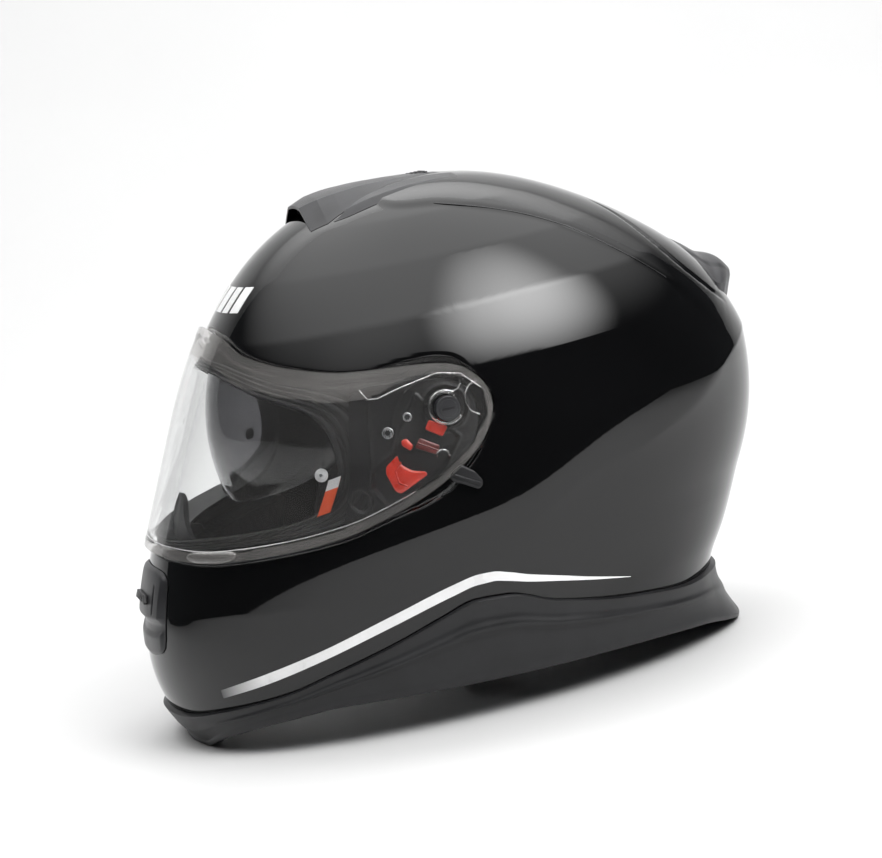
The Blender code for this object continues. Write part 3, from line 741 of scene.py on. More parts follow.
def rim_down(turn):
    return down_at_height(EDGE_HEIGHT(wrapped(turn)) + RIM_ABOVE_EDGE, wrapped(turn))


def shell_guides(turn):
    """Lines that the shell's rows follow: the edges of visor and eye port, carried on round the back."""
    side = wrapped(turn)
    back = ease(86, 104, side)
    top = VISOR_TOP(np.minimum(side, VISOR_END)) * (1 - back) + 0.50 * back
    low = VISOR_LOW(np.minimum(side, VISOR_END)) * (1 - back) + 0.66 * back
    past_eye = ease(EYE_END, 86, side)
    eye_top = EYE_TOP(np.minimum(side, EYE_END)) * (1 - past_eye) + (top + (low - top) * 0.34) * past_eye
    eye_low = EYE_LOW(np.minimum(side, EYE_END)) * (1 - past_eye) + (top + (low - top) * 0.66) * past_eye
    return [np.zeros_like(side), top, eye_top, eye_low, low, rim_down(turn)]


def build_shell():
    near_end = VISOR_END + SWEEP_ROOM / TAIL_TURN_MM + FINE_COLUMNS
    half_turns = np.concatenate([np.linspace(0, EYE_END, 84), np.linspace(EYE_END, 180, 170)[1:],
                                 near_end])
    half_turns = np.unique(np.round(half_turns, 3))
    turn = np.concatenate([-half_turns[::-1][:-1], half_turns[1:-1]])
    turn = np.unique(np.concatenate([turn, [0.0]]))
    guides = shell_guides(turn)
    rows = []
    for a, b, (count, fine_start, fine_end) in zip(guides, guides[1:], SHELL_ROWS):
        lead, tail = (FINE_ROWS[-1] if fine else 0 for fine in (fine_start, fine_end))
        rows.append(a)
        if fine_start:
            rows += [a + f for f in FINE_ROWS]
        for share in np.linspace(0, 1, count + 1)[1:-1]:
            rows.append(a + lead + (b - tail - a - lead) * share)
        if fine_end:
            rows += [b - f for f in FINE_ROWS[::-1]]
    rows.append(guides[-1])
    down = np.array(rows[1:])
    lines, count = down.shape
    both = np.broadcast_to(turn, down.shape)
    side = wrapped(both)
    height = relief(down, both)
    pocket = ease(-0.7, 0.9, inside_visor(down, side))
    height = height * (1 - pocket) - POCKET_DEEP * pocket
    points = surface(down, both, height)
    eye_rows = (down[:-1] >= guides[2] - 1e-6) & (down[1:] <= guides[3] + 1e-6)
    columns = (np.abs(turn) < EYE_END) & (np.abs(np.roll(turn, -1)) <= EYE_END + 1e-6)
    columns |= (np.abs(turn) <= EYE_END + 1e-6) & (np.abs(np.roll(turn, -1)) < EYE_END)
    skip = eye_rows & columns[None, :]
    crown = np.array([[0, MIDDLE_SECTION[CROWN][0] + FORE_AFT, MIDDLE_SECTION[CROWN][1] + 1.3]]) * MM
    verts = np.concatenate([crown, points.reshape(-1, 3)])
    faces = grid_faces(lines, count, 1, round_=True, skip=skip)
    faces += [(0, 1 + j, 1 + (j + 1) % count) for j in range(count)]
    ob = mesh_object("shell", verts, faces, GLOSS, 0)
    face_outward(ob)
    wall = ob.modifiers.new("wall", 'SOLIDIFY')
    wall.thickness = SHELL_THICK * MM
    wall.offset = -1
    return place(ob, "helmet", "gloss_black", "outer_shell")


# ---------------------------------------------------------------- face opening

def rounded_loop(corners, count, soften, reach=None):
    """A closed line through corner points as `count` even points, its corners softened."""
    closed = np.concatenate([corners, corners[:1]])
    lengths = np.concatenate([[0], np.cumsum(np.sqrt((np.diff(closed, axis=0) ** 2).sum(1)))])
    even = np.linspace(0, lengths[-1], count + 1)[:-1]
    line = np.stack([np.interp(even, lengths, closed[:, i]) for i in (0, 1)], -1)
    step = lengths[-1] / count
    reach = reach or max(1, int(3 * soften / step))
    window = np.exp(-0.5 * (np.arange(-reach, reach + 1) * step / soften) ** 2)
    window /= window.sum()
    padded = np.concatenate([line[-reach:], line, line[:reach]])
    return np.stack([np.convolve(padded[:, i], window, 'valid') for i in (0, 1)], -1)


def loop(table, grow_down, grow_turn, soften, count=320):
    """A closed, rounded line round an outline table: arrays of down and turn."""
    top, low = edge_curves(table)
    end = table[-1][0]
    start = table[0][0] if table[0][0] > 0 else -end
    turn = np.linspace(start, end, 121)
    side = np.abs(turn) if start < 0 else turn
    upper = np.stack([top(side) - grow_down, turn], -1)
    lower = np.stack([low(side) + grow_down, turn], -1)[::-1]
    middle = (start + end) / 2
    for line in (upper, lower):
        line[:, 1] = middle + (line[:, 1] - middle) * (1 + grow_turn / (end - middle))
    line = rounded_loop(np.concatenate([upper, lower]) * (DOWN_MM, TURN_MM), count, soften)
    return line[:, 0] / DOWN_MM, line[:, 1] / TURN_MM


def ring_strip(name, loops, mat, sharp=40.0):
    """A band round an opening: each of `loops` is a closed line of points in metres."""
    count = len(loops[0])
    verts = np.concatenate(loops)
    faces = []
    total = len(loops)
    for i in range(total):
        k = (i + 1) % total
        for j in range(count):
            m = (j + 1) % count
            faces.append((i * count + j, k * count + j, k * count + m, i * count + m))
    ob = mesh_object(name, verts, faces, mat, 0)
    outward(ob, sharp)
    return ob


# the gasket's section, from the opening outward: (share of its width, height over the form)
GASKET_SECTION = [(0.0, -4.0), (0.0, -1.6), (0.03, -0.9), (0.09, -0.6), (0.15, -0.9), (0.19, -2.2),
                  (0.25, -2.2), (0.29, -1.5), (0.36, -1.3), (0.41, -1.5), (0.45, -2.5), (0.52, -2.5),
                  (0.56, -1.9), (0.63, -1.7), (0.68, -1.9), (0.72, -2.7), (0.79, -2.7), (0.82, -2.2),
                  (0.90, -2.0), (0.96, -2.3), (1.0, -3.0), (1.0, -4.0)]


def build_gasket():
    inner_down, inner_turn = loop(EYE_PORT, -0.008, -1.2, 4.5)
    outer_down, outer_turn = loop(EYE_PORT, 0.008, 6.5, 4.5)
    loops = []
    for share, height in GASKET_SECTION:
        down = inner_down + (outer_down - inner_down) * share
        turn = inner_turn + (outer_turn - inner_turn) * share
        loops.append(surface(down, turn, height))
    gasket = ring_strip("gasket", loops, RUBBER)
    place(gasket, "helmet", "black_rubber", "eyeport_gasket")
    down, turn = loop(EYE_PORT, -0.0095, -1.35, 4.5)
    wall = [surface(down, turn, v) for v in (-1.8, -4.6, -16.0)]
    deeper_down, deeper_turn = loop(EYE_PORT, -0.004, -0.3, 4.5)
    wall += [surface(deeper_down, deeper_turn, v) for v in (-16.0, -3.9)]
    lip = ring_strip("eye_port_lip", wall, RUBBER)
    place(lip, "helmet", "black_rubber")


def build_breath_guard():
    """Nose deflector: a peaked blade standing on the chin bar, with a rolled edge."""
    turn = np.linspace(-36, 36, 121)
    side = np.abs(turn)
    peak = graph([0, 4, 9, 16, 24, 31, 36], [0.621, 0.628, 0.655, 0.682, 0.699, 0.708, 0.714])
    top = peak(side)
    down, share = between(top, 0.724, 34)
    ridge = 0.8 * np.exp(-(turn / 2.5) ** 2) * (1 - share)
    bead = 0.9 * np.exp(-((down - top) * DOWN_MM / 0.9) ** 2)
    lean = -9.0 - 3.0 * share + ridge
    blade = slab("breath_guard_blade", surface(down, turn, lean + bead),
                 surface(down, turn, lean - 1.4 - bead * 0.5), GUARD)
    place(blade, "helmet", "black_rubber", "breath_guard")


# ---------------------------------------------------------------- visor

def at_yz(points, out, side=1):
    """Points over the form from (y, z) pairs, in metres."""
    y, z = np.array(points, float).T
    down, turn = find(y, z)
    return surface(down, side * turn, out)


def pivot_ring(radius, start, end, out, count=40):
    y, z = VISOR_HINGE
    angles = np.radians(np.linspace(start, end, count))
    return at_yz([(y + radius * math.cos(a), z + radius * math.sin(a)) for a in angles], out)


def visor_grid(name, top_edge, low_edge, out, inner, rows, columns):
    """Clear sheet between two edges given as functions of the turn, finer toward all its edges."""
    swing = np.linspace(-1, 1, columns + 1)
    turn = CHORD_END * np.sin(swing * math.pi / 2) * 0.35 + CHORD_END * swing * 0.65
    side = np.abs(turn)
    top, low = top_edge(side), low_edge(side)
    share = (0.5 - 0.5 * np.cos(np.linspace(0, math.pi, rows + 1))) * 0.75 \
        + np.linspace(0, 1, rows + 1) * 0.25
    down = top[None] + (low - top)[None] * share[:, None]
    both = np.broadcast_to(turn, down.shape)
    return down, both, slab(name, surface(down, both, out(down, both)),
                            surface(down, both, inner(down, both)), CLEAR)


CHORD = [(0, 0.375, 0.712), (15, 0.385, 0.715), (31, 0.42, 0.72), (47, 0.45, 0.715),
         (60, 0.469, 0.703), (70, 0.475, 0.678), (76, 0.480, 0.655), (80, 0.487, 0.632),
         (83, 0.498, 0.610), (85, 0.512, 0.592), (86.3, 0.528, 0.574), (86.9, 0.545, 0.559)]
CHORD_END = 86.9
CHORD_TIP = 87.6
# the visor's faces over the form, and how much its rim is thicker on each side
VISOR_OUT, RIM_RAISED = 3.65, 0.35
VISOR_IN, RIM_DEEPER = 2.2, 0.1
RIM_WIDTH = 4.2
HUB_HOLE_RADIUS = 6.7


def build_visor():
    top_edge, low_edge = edge_curves(CHORD)

    def from_edge(down, turn):
        side = np.abs(turn)
        gap = np.minimum(down - top_edge(side), low_edge(side) - down) * DOWN_MM
        return np.minimum(gap, (CHORD_TIP - side) * TURN_MM)

    def out(down, turn):
        return VISOR_OUT + RIM_RAISED * ease(RIM_WIDTH + 0.5, RIM_WIDTH - 0.5, from_edge(down, turn))

    def inner(down, turn):
        return VISOR_IN - RIM_DEEPER * ease(RIM_WIDTH + 2.2, RIM_WIDTH + 1.4, from_edge(down, turn))
    down, turn, visor = visor_grid("visor_shield", top_edge, low_edge, out, inner, 72, 300)
    side = np.abs(turn)
    visor.data.materials.append(FROSTED)
    frost = (down < top_edge(side) + 0.040 * ease(80, 60, side)) | (from_edge(down, turn) < RIM_WIDTH)
    cells = frost[:-1, :-1]
    flags = np.ones(len(visor.data.polygons), int)
    flags[:2 * cells.size] = np.tile(cells.ravel(), 2)
    visor.data.polygons.foreach_set("material_index", flags)
    for s in (-1, 1):
        y, z = VISOR_HINGE
        points = [(y + a, z + b) for a, b in circle(HUB_HOLE_RADIUS, 40)]
        cutter = bmesh.new()
        rings = [at_yz(points, v, s) for v in (-1, 6)]
        verts = [[cutter.verts.new(p) for p in ring] for ring in rings]
        cutter.faces.new(verts[0][::-1])
        cutter.faces.new(verts[1])
        for j in range(len(points)):
            k = (j + 1) % len(points)
            cutter.faces.new((verts[0][j], verts[0][k], verts[1][k], verts[1][j]))
        hole = finish_bmesh(f"hub_cut_{s}", cutter, CLEAR)
        mod = visor.modifiers.new("hub", 'BOOLEAN')
        mod.solver = 'EXACT'
        mod.object = hole
        bpy.context.view_layer.update()
        apply_modifiers(visor)
        bpy.data.objects.remove(hole, do_unlink=True)
    place(visor, "visor", "clear_plastic", "visor")
    return low_edge


def apply_modifiers(ob):
    """Make the modifiers' result the object's own mesh."""
    graph_ = bpy.context.evaluated_depsgraph_get()
    made = bpy.data.meshes.new_from_object(ob.evaluated_get(graph_))
    old = ob.data
    ob.modifiers.clear()
    ob.data = made
    bpy.data.meshes.remove(old)


def line_on_form(path, out, count=24):
    """Smooth line over the form through (down, turn) points."""
    curve, knots = spline([(d * DOWN_MM, t * TURN_MM) for d, t in path])
    line = curve(np.linspace(0, knots[-1], count))
    return surface(line[:, 0] / DOWN_MM, line[:, 1] / TURN_MM, out)


# raised lines on the visor: (points as (y, z), height over the form, radius)
VISOR_BEADS = [
    ([(-15.2, 165), (-12, 165.5), (-10.4, 168), (-10.2, 172)], 3.8, 0.35),
    ([(-2.2, 167.5), (-6.5, 166.2), (-9.3, 162.5), (-9.8, 158), (-8.3, 153.5), (-4.6, 151.2)], 3.8, 0.4),
    ([(-57, 173), (-54.5, 168.5), (-50, 168), (-40, 171), (-20, 174.5), (-9, 172.5), (-1, 164)], 3.6,
     0.35),
    ([(-29.4, 135.4), (-28.9, 138), (-26.3, 138.8), (-23.6, 137.4), (-23, 135.1)], 3.8, 0.45)]
# the lift tab: its two ends and the line it stands on
LIFT_TURNS = (24.5, 38.5)
LIFT_DOWN = 0.7095


def build_visor_details(low_edge):
    """Raised lines, ring, finger notch and lift tab of the visor, all clear plastic."""
    made = []
    beads = [(pivot_ring(7.9, 52, 318, 4.0), 0.75)]
    beads += [(at_yz(line, out), radius) for line, out, radius in VISOR_BEADS]
    for s in (-1, 1):
        made += [tube("bead", line * (s, 1, 1), radius, CLEAR, sides=10) for line, radius in beads]
    lower = np.linspace(-72, 72, 160)
    made.append(tube("bead", surface(low_edge(np.abs(lower)) - 0.0165, lower, 3.5), 0.3, CLEAR))
    place(join("visor_ridges", *made), "visor", "clear_plastic")
    turn = np.linspace(*LIFT_TURNS, 40)
    round_end = np.sqrt(np.clip(1 - (2 * (turn - 31.5) / 14) ** 4, 0, 1))
    down, share = between(LIFT_DOWN - 0.0065 * round_end, LIFT_DOWN + 0.0105 * round_end, 10)
    swell = 2.4 * np.sqrt(np.clip(1 - (2 * share - 1) ** 2, 0, 1)) * round_end ** 0.6
    tab = slab("lift_tab", surface(down, turn, 4.02 + swell), surface(down, turn, 3.0), FROSTED)
    place(tab, "visor", "clear_plastic")


PIN_AT = (0.608, 54)
# the hanging tab: its sides' turns, its top, its length down, and its grid
PIN_TAB_TURNS = (54.9, 57.3)
PIN_TAB_TOP, PIN_TAB_LENGTH = 0.617, 0.050
PIN_TAB_ROWS, PIN_TAB_COLUMNS, WHITE_ROWS = 30, 9, 9


def build_pins():
    for s, name in SIDES:
        at = frame_at(PIN_AT[0], PIN_AT[1] * s)
        base = prism("pin_base", circle(3.4, 40), 0.1, 1.0, at, WHITE, 0.3)
        head = prism("pin_head", circle(2.2, 40), 0.8, 1.7, at, WHITE, 0.45, 3)
        eye = prism("pin_eye", circle(0.9, 24), 1.5, 1.75, at, STEEL, 0.1)
        pin = join(f"pinlock_stud_{name}", base, head, eye)
        place(pin, "visor", "white_plastic", f"visor_pin_{name}")
    turns = np.linspace(*PIN_TAB_TURNS, PIN_TAB_COLUMNS)
    share = np.linspace(0, 1, PIN_TAB_ROWS)[:, None]
    down = PIN_TAB_TOP - 0.0016 * (turns - PIN_TAB_TURNS[0]) + PIN_TAB_LENGTH * share
    leaning = turns + (share - 0.5) * -1.3
    tab = slab("warning_tab", surface(down, leaning, 1.35), surface(down, leaning, 1.0), ORANGE)
    tab.data.materials.append(FILM)
    cells = np.zeros((PIN_TAB_ROWS - 1, PIN_TAB_COLUMNS - 1), int)
    cells[:WHITE_ROWS] = 1
    flags = np.zeros(len(tab.data.polygons), int)
    flags[:2 * cells.size] = np.tile(cells.ravel(), 2)
    tab.data.polygons.foreach_set("material_index", flags)
    place(tab, "visor", "orange_tab", "pin_tab_left")


# ---------------------------------------------------------------- visor mechanism

# outlines of the mechanism's pieces, (y, z)
LATCH = [(-47.5, 140), (-54, 135.3), (-54.7, 132), (-52, 122.6), (-49.6, 121.1), (-35.2, 127.9),
         (-35.8, 129.6), (-42, 131.2), (-46.1, 134.4), (-47.9, 137.2)]
LOCK = [(-28.9, 153.9), (-20.6, 148.9), (-24.3, 144.6), (-31.8, 149.7)]
DETENT = [(-35.2, 146.2), (-26.5, 140.7), (-29, 136.6), (-38.6, 141.9)]
STOP = [(-44, 146.6), (-41.3, 147), (-38.9, 142.9), (-41, 140.9), (-44.4, 144.2)]
HOUSING = [(-33, 166), (-44, 152), (-48.5, 141.5), (-60.2, 133.5), (-61.6, 126.2), (-56, 115.2),
           (-42, 119.4), (-26, 131), (-17, 143)]


def on_form_prism(name, outline, low, high, mat, side=1, rounding=0.35, crown=0.0):
    """An outline of (y, z) points raised over the form between two heights, edges rounded."""
    count = 72
    line = rounded_loop(np.array(outline, float), count, 0.7, reach=6)
    middle = line.mean(0)
    size = np.sqrt(((line - middle) ** 2).sum(1)).mean()
    rings = []
    for shrink, height in ((0, low), (0, high - rounding), (rounding * 0.3, high - rounding * 0.3),
                           (rounding, high), (size * 0.35, high + crown * 0.7),
                           (size * 0.75, high + crown)):
        scale = 1 - shrink / size
        rings.append(at_yz([tuple(middle + (p - middle) * scale) for p in line], height, side))
    top = at_yz([tuple(middle)], high + crown, side)
    under = at_yz([tuple(middle)], low, side)
    verts = np.concatenate(rings + [top, under])
    faces = []
    for i in range(len(rings) - 1):
        for j in range(count):
            k = (j + 1) % count
            faces.append((i * count + j, i * count + k, (i + 1) * count + k, (i + 1) * count + j))
    last = (len(rings) - 1) * count
    for j in range(count):
        k = (j + 1) % count
        faces.append((last + j, last + k, len(verts) - 2))
        faces.append((k, j, len(verts) - 1))
    ob = mesh_object(name, verts, faces, mat, 0)
    outward(ob, 50)
    return ob


def inside_polygon(y, z, outline):
    """Signed distance in mm inside a polygon of (y, z) points."""
    best = np.full(np.shape(y), 1e9)
    odd = np.zeros(np.shape(y), bool)
    for (y0, z0), (y1, z1) in zip(outline, outline[1:] + outline[:1]):
        vy, vz = y1 - y0, z1 - z0
        t = np.clip(((y - y0) * vy + (z - z0) * vz) / (vy * vy + vz * vz), 0, 1)
        best = np.minimum(best, np.hypot(y - y0 - t * vy, z - z0 - t * vz))
        crosses = (z0 > z) != (z1 > z)
        with np.errstate(divide='ignore', invalid='ignore'):
            reach = y0 + (z - z0) / (z1 - z0) * vy if z1 != z0 else np.full(np.shape(y), 1e9)
        odd ^= crosses & (y < reach)
    return np.where(odd, best, -best)


# the plate's face and back under the form, and the floor that the mechanism's pieces stand on
PLATE_FACE, PLATE_BACK = -0.9, -2.7
MECHANISM_FLOOR = -1.9
FRONT_RIB_TURN = 63.6
PLATE_CUP = (-69, 120.6)


def build_base_plate(side, name):
    """Plate under the visor's end: a well for the latch, a ring round the hub, ribs and a cup."""
    top_edge, low_edge = edge_curves(BASE_PLATE)
    turn = np.linspace(BASE_PLATE[0][0], BASE_PLATE[-1][0], 110)
    down, _ = between(top_edge(turn), low_edge(turn), 110)
    flat = form(down, turn)
    y, z = flat[..., 1], flat[..., 2]
    height = np.full(down.shape, PLATE_FACE)
    well = inside_polygon(y, z, HOUSING)
    height -= 1.3 * ease(-0.5, 0.5, well)
    height += 0.5 * np.exp(-((well + 1.2) / 0.7) ** 2)
    hub = np.hypot(y - VISOR_HINGE[0], z - VISOR_HINGE[1])
    height += 0.7 * np.exp(-((hub - 11.2) / 0.8) ** 2)
    height -= 1.0 * ease(10.4, 9.6, hub)
    cup = np.hypot(y - PLATE_CUP[0], z - PLATE_CUP[1])
    height -= 1.2 * ease(5.2, 4.4, cup)
    height += 0.45 * np.exp(-((cup - 5.9) / 0.5) ** 2)
    front_rib = (turn - FRONT_RIB_TURN) * TURN_MM
    height += 0.6 * np.exp(-(front_rib / 0.6) ** 2) * ease(0.51, 0.53, down)
    arch = np.hypot(y + 24, z - 150) - 23
    height += 0.35 * np.exp(-(arch / 0.5) ** 2) * ease(150, 156, z)
    outer = surface(down, turn, height) * (side, 1, 1)
    inner = surface(down, turn, PLATE_BACK) * (side, 1, 1)
    plate = slab(f"pivot_plate_{name}", outer, inner, SATIN)
    place(plate, "helmet", "satin_black", f"visor_base_{name}")


# the plate's screws: (which, y, z, head radius, the socket's share of it)
PLATE_SCREWS = [("front", -49.4, 151.2, 2.9, 0.5), ("rear", -38.6, 157.1, 2.3, 0.62)]
SCREW_TOP = 0.6


def screw(name, y, z, radius, drive, side):
    """A pan-head screw with a hex socket, on the form."""
    down, turn = find(y, z)
    at = frame_at(float(down), float(turn))
    head = prism("head", circle(radius, 36), -1.1, SCREW_TOP, at, STEEL, 0.35, 3)
    socket = prism("socket", circle(radius * drive, 6), SCREW_TOP - 0.3, SCREW_TOP + 0.03, at,
                   VENT_SATIN)
    made = join(name, head, socket)
    if side < 0:
        to_right(made)
    return made


def build_mechanism():
    floor = MECHANISM_FLOOR
    for side, name in SIDES:
        build_base_plate(side, name)
        latch = on_form_prism(f"latch_{name}", LATCH, floor, 0.6, RED, side, 0.5, 0.5)
        rib = at_yz([(-46.5, 136.5), (-50, 132.5), (-49.5, 126.5), (-46, 124.3)], 1.15)
        edge = tube("rib", rib * (side, 1, 1), 0.5, RED)
        place(join(f"release_latch_{name}", latch, edge), f"visor_latch_{name}", "red_plastic",
              f"visor_latch_{name}")
        lock = on_form_prism(f"lock_{name}", LOCK, floor, 0.7, RED, side, 0.45, 0.2)
        place(lock, "helmet", "red_plastic", f"lock_block_{name}")
        detent = on_form_prism(f"detent_{name}", DETENT, floor, 0.1, DARK_RED, side, 0.4, 0.1)
        groove = at_yz([(-36.6, 143.8), (-27.8, 138.6)], 0.25)
        line = tube("line", groove * (side, 1, 1), 0.4, DARK_RED)
        place(join(f"detent_spring_{name}", detent, line), "helmet", "red_plastic",
              f"detent_arm_{name}")
        stop = on_form_prism(f"stop_{name}", STOP, floor, 0.6, RED, side, 0.4, 0.3)
        place(stop, "helmet", "red_plastic", f"stop_block_{name}")
        for which, y, z, radius, drive in PLATE_SCREWS:
            place(screw(f"{which}_screw_{name}", y, z, radius, drive, side), "helmet", "steel",
                  f"plate_screw_{which}_{name}")
        build_hub(side, name)


def across_head(hinge, side=1):
    """A matrix at a hinge line: Z toward the outside, X to the back and Y up."""
    y, z = hinge
    return Matrix(((0, 0, side, 0), (side, 0, 0, y * MM), (0, 1, 0, z * MM), (0, 0, 0, 1)))


def build_hub(side, name):
    turned = across_head(VISOR_HINGE)
    low, high = sorted(abs(corner[0]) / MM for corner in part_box(f"pivot_hub_{name}"))
    drum = prism("drum", circle(6.15, 48), low, high - 0.4, turned, VENT_SATIN, 0.4, 3)
    face = prism("face", circle(4.6, 48), high - 0.6, high - 0.15, turned, VENT_SATIN, 0.25)
    key = prism("key", rectangle(3.2, 0.7), high - 0.3, high, turned, SATIN, 0.1)
    hub = join(f"pivot_cap_{name}", drum, face, key)
    if side < 0:
        to_right(hub)
    place(hub, "helmet", "satin_black", f"pivot_hub_{name}")


# ---------------------------------------------------------------- sun visor

SUN_RADIUS = 100.0
SUN_HALF_WIDTH = 88.0
SUN_WALL = 1.8
SUN_UPPER = 50
SUN_FACE = 0.35
SUN_LOWER = [(0, -11), (5, -14.5), (8, -16), (20, -16.5), (39, -16), (55, -14), (66, -6), (73, 0),
             (84, 5)]


def build_sun_visor():
    swing = np.linspace(-SUN_LOWER[-1][0], SUN_LOWER[-1][0], 170)
    lower = graph(*zip(*SUN_LOWER))(np.abs(swing))
    angle = np.radians(between(SUN_UPPER, lower, 44)[0])
    both = np.radians(np.broadcast_to(swing, angle.shape))
    from_low = (np.degrees(angle) - lower) * 1.75
    bead = SUN_FACE * ease(1.8, 1.0, from_low)

    def sheet(thin):
        radius = (SUN_RADIUS - thin) * np.cos(both)
        x = (SUN_HALF_WIDTH - thin) * np.sin(both)
        y = SUN_HINGE[0] - radius * np.cos(angle)
        return np.stack([x, y, SUN_HINGE[1] + radius * np.sin(angle)], -1) * MM
    lens = slab("sun_shade", sheet(SUN_FACE - bead), sheet(SUN_WALL - 0.2), SMOKE)
    place(lens, "sun_visor", "smoke_plastic", "sun_visor")
    for side, name in SIDES:
        ear = prism("sun_ear", circle(11, 48), 85.2, 88.6, across_head(SUN_HINGE, side), SMOKE, 0.5, 3)
        ear.name = f"sun_ear_{name}"
        place(ear, "sun_visor", "smoke_plastic")
        place_material(f"sun_stud_{name}", STEEL)


def place_material(node, mat):
    """Keep a CAD node and give it a richer material."""
    ob = NODES[node]
    ob.data.materials.clear()
    ob.data.materials.append(mat)


def build_lever():
    """Sun visor lever: a ribbed thumb tab on a stem that runs in a curved slot."""
    down, turn = find(-17.5, 123.5)
    at = frame_at(float(down), float(turn))
    tab = prism("tab", [(-8.2, 0.8), (-6.4, 3.6), (-1.5, 6.2), (4.6, 1.6), (7.6, -3.2), (7.2, -6.0),
                        (4.8, -7.6), (-1.5, -3.9), (-6.6, -1.6)], 1.0, 3.8, at, SATIN, 1.1, 4)
    ridge = prism("ridge", [(-6.4, 1.4), (-5.4, 2.3), (6.6, -4.4), (5.8, -5.6)], 3.5, 4.6, at, SATIN,
                  0.45, 3)
    lever = join("sun_shade_lever", tab, ridge)
    place(lever, "sun_lever", "satin_black", "sun_lever")
    slot_line = at_yz([(-20.6, 122.5), (-22.5, 120), (-26, 117.6), (-31, 116.2)], 0.05)
    groove = tube("lever_slot", slot_line, 0.55, SATIN, flat=0.5)
    place(groove, "helmet", "satin_black")


# ---------------------------------------------------------------- vents

# the top vent's scoop: (y, half width of its flat roof, half width at its foot, roof over the form)
TOP_BODY = [(-52, 14, 34, 7.2), (-43, 20, 37.5, 7.4), (-34, 21, 35, 6.2), (-24, 20, 31, 4.7),
            (-8, 17.5, 25.5, 3.0), (8, 14.5, 20.5, 2.0), (22, 11.5, 16.5, 1.4), (34, 9, 13.5, 0.9),
            (41, 8, 12, 0.4)]
# the wings either side of it: (y, inner half width, outer half width, roof over the form)
TOP_WING = [(-40, 38.3, 39.3, 0.5), (-32, 37, 42, 2.2), (-24, 33.8, 42.6, 2.6), (-8, 28.2, 41.4, 2.3),
            (8, 22.4, 38.6, 1.9), (22, 18, 36.5, 1.5), (34, 14.8, 35, 1.1), (41, 13.2, 34, 0.5)]


def top_sheet(name, along, x, roof, hollow):
    """A moulding on the crown: x and roof are grids; `hollow` is where its roof is a thin sheet."""
    y = np.broadcast_to(along[:, None], x.shape)
    base = crown_grid(x, y)
    top = base + np.maximum(roof, 0.25)
    under = base + 0.1 + np.maximum(top - 1.5 - base, 0) * hollow
    return slab(name, np.stack([x, y, top], -1) * MM, np.stack([x, y, under], -1) * MM, VENT_SATIN, 13)


def build_top_vent():
    ys, flats, feet, roofs = (np.array(v, float) for v in zip(*TOP_BODY))
    along = np.unique(np.concatenate([np.linspace(ys[0], ys[-1], 90), ys]))
    flat, foot, high = (np.interp(along, ys, v)[:, None] for v in (flats, feet, roofs))
    # from the foot up a slanting side to the roof's edge, over the roof and down again
    side = np.linspace(0, 1, 9)[None]
    slant = flat + (foot - flat) * (1 - side)
    across = np.linspace(-1, 1, 41)[None]
    x = np.concatenate([-slant, flat * across[:, 1:-1], slant[:, ::-1]], 1)
    level = high * np.ones((1, across.shape[1] - 2))
    roof = np.concatenate([high * side, level, (high * side)[:, ::-1]], 1)
    mouth = ease(-38, -43, along)[:, None] * ease(0.98, 0.9, np.abs(x) / foot)
    body = top_sheet("top_scoop", along, x, roof, mouth)

    ys, inner, outer, roofs = (np.array(v, float) for v in zip(*TOP_WING))
    along = np.unique(np.concatenate([np.linspace(ys[0], ys[-1], 80), ys]))
    near, far, high = (graph(ys, v, False)(along)[:, None] for v in (inner, outer, roofs))
    share = np.linspace(0, 1, 19)[None]
    x = near + (far - near) * share
    width = far - near
    bevel = np.clip(share * width / 0.8, 0, 1) * np.clip((1 - share) * width / 4.0, 0, 1) ** 0.8
    wings = []
    for sign in (-1, 1):
        grid = x if sign > 0 else -x[:, ::-1]
        lift = high * (bevel if sign > 0 else bevel[:, ::-1])
        wings.append(top_sheet("wing", along, grid, lift, np.zeros(x.shape)))
    scoop = join("top_scoop", body, *wings)
    place(scoop, "helmet", "satin_black", "top_vent_body")
    place(build_scoop_ribs(), "helmet", "satin_black")
    build_top_slider()


MOUTH_BARS_Y = -44.0


def build_scoop_ribs():
    """Upright bars inside the scoop's mouth."""
    bars = []
    for x in (-16, -8, 0, 8, 16):
        z = float(crown_grid(np.array([[x]]), np.array([[MOUTH_BARS_Y]]))[0, 0])
        bars.append(prism("bar", rectangle(0.6, 4, 1), z - 0.5, z + 4.6,
                          Matrix.Translation((x * MM, MOUTH_BARS_Y * MM, 0)), SATIN, 0.2))
    return join("scoop_ribs", *bars)


def crown_grid(x, y):
    """The form's height over plan positions on the upper half of the head, in millimetres."""
    drop = Vector((0, 0, -1))
    heights = []
    for px, py in zip(np.ravel(x), np.ravel(y)):
        hit = UPPER_FORM.ray_cast(Vector((float(px), float(py), 400)), drop)[0]
        heights.append(hit.z if hit else 0.0)
    return np.array(heights).reshape(np.shape(x))


def form_tree():
    downs, turns = np.linspace(0.001, 0.7, 170), np.linspace(-180, 180, 241)[:-1]
    points = form(downs[:, None], turns[None, :])
    faces = grid_faces(len(downs), len(turns), round_=True)
    faces.append(tuple(range(len(turns)))[::-1])
    return BVHTree.FromPolygons([tuple(p) for p in points.reshape(-1, 3)], faces)


UPPER_FORM = form_tree()


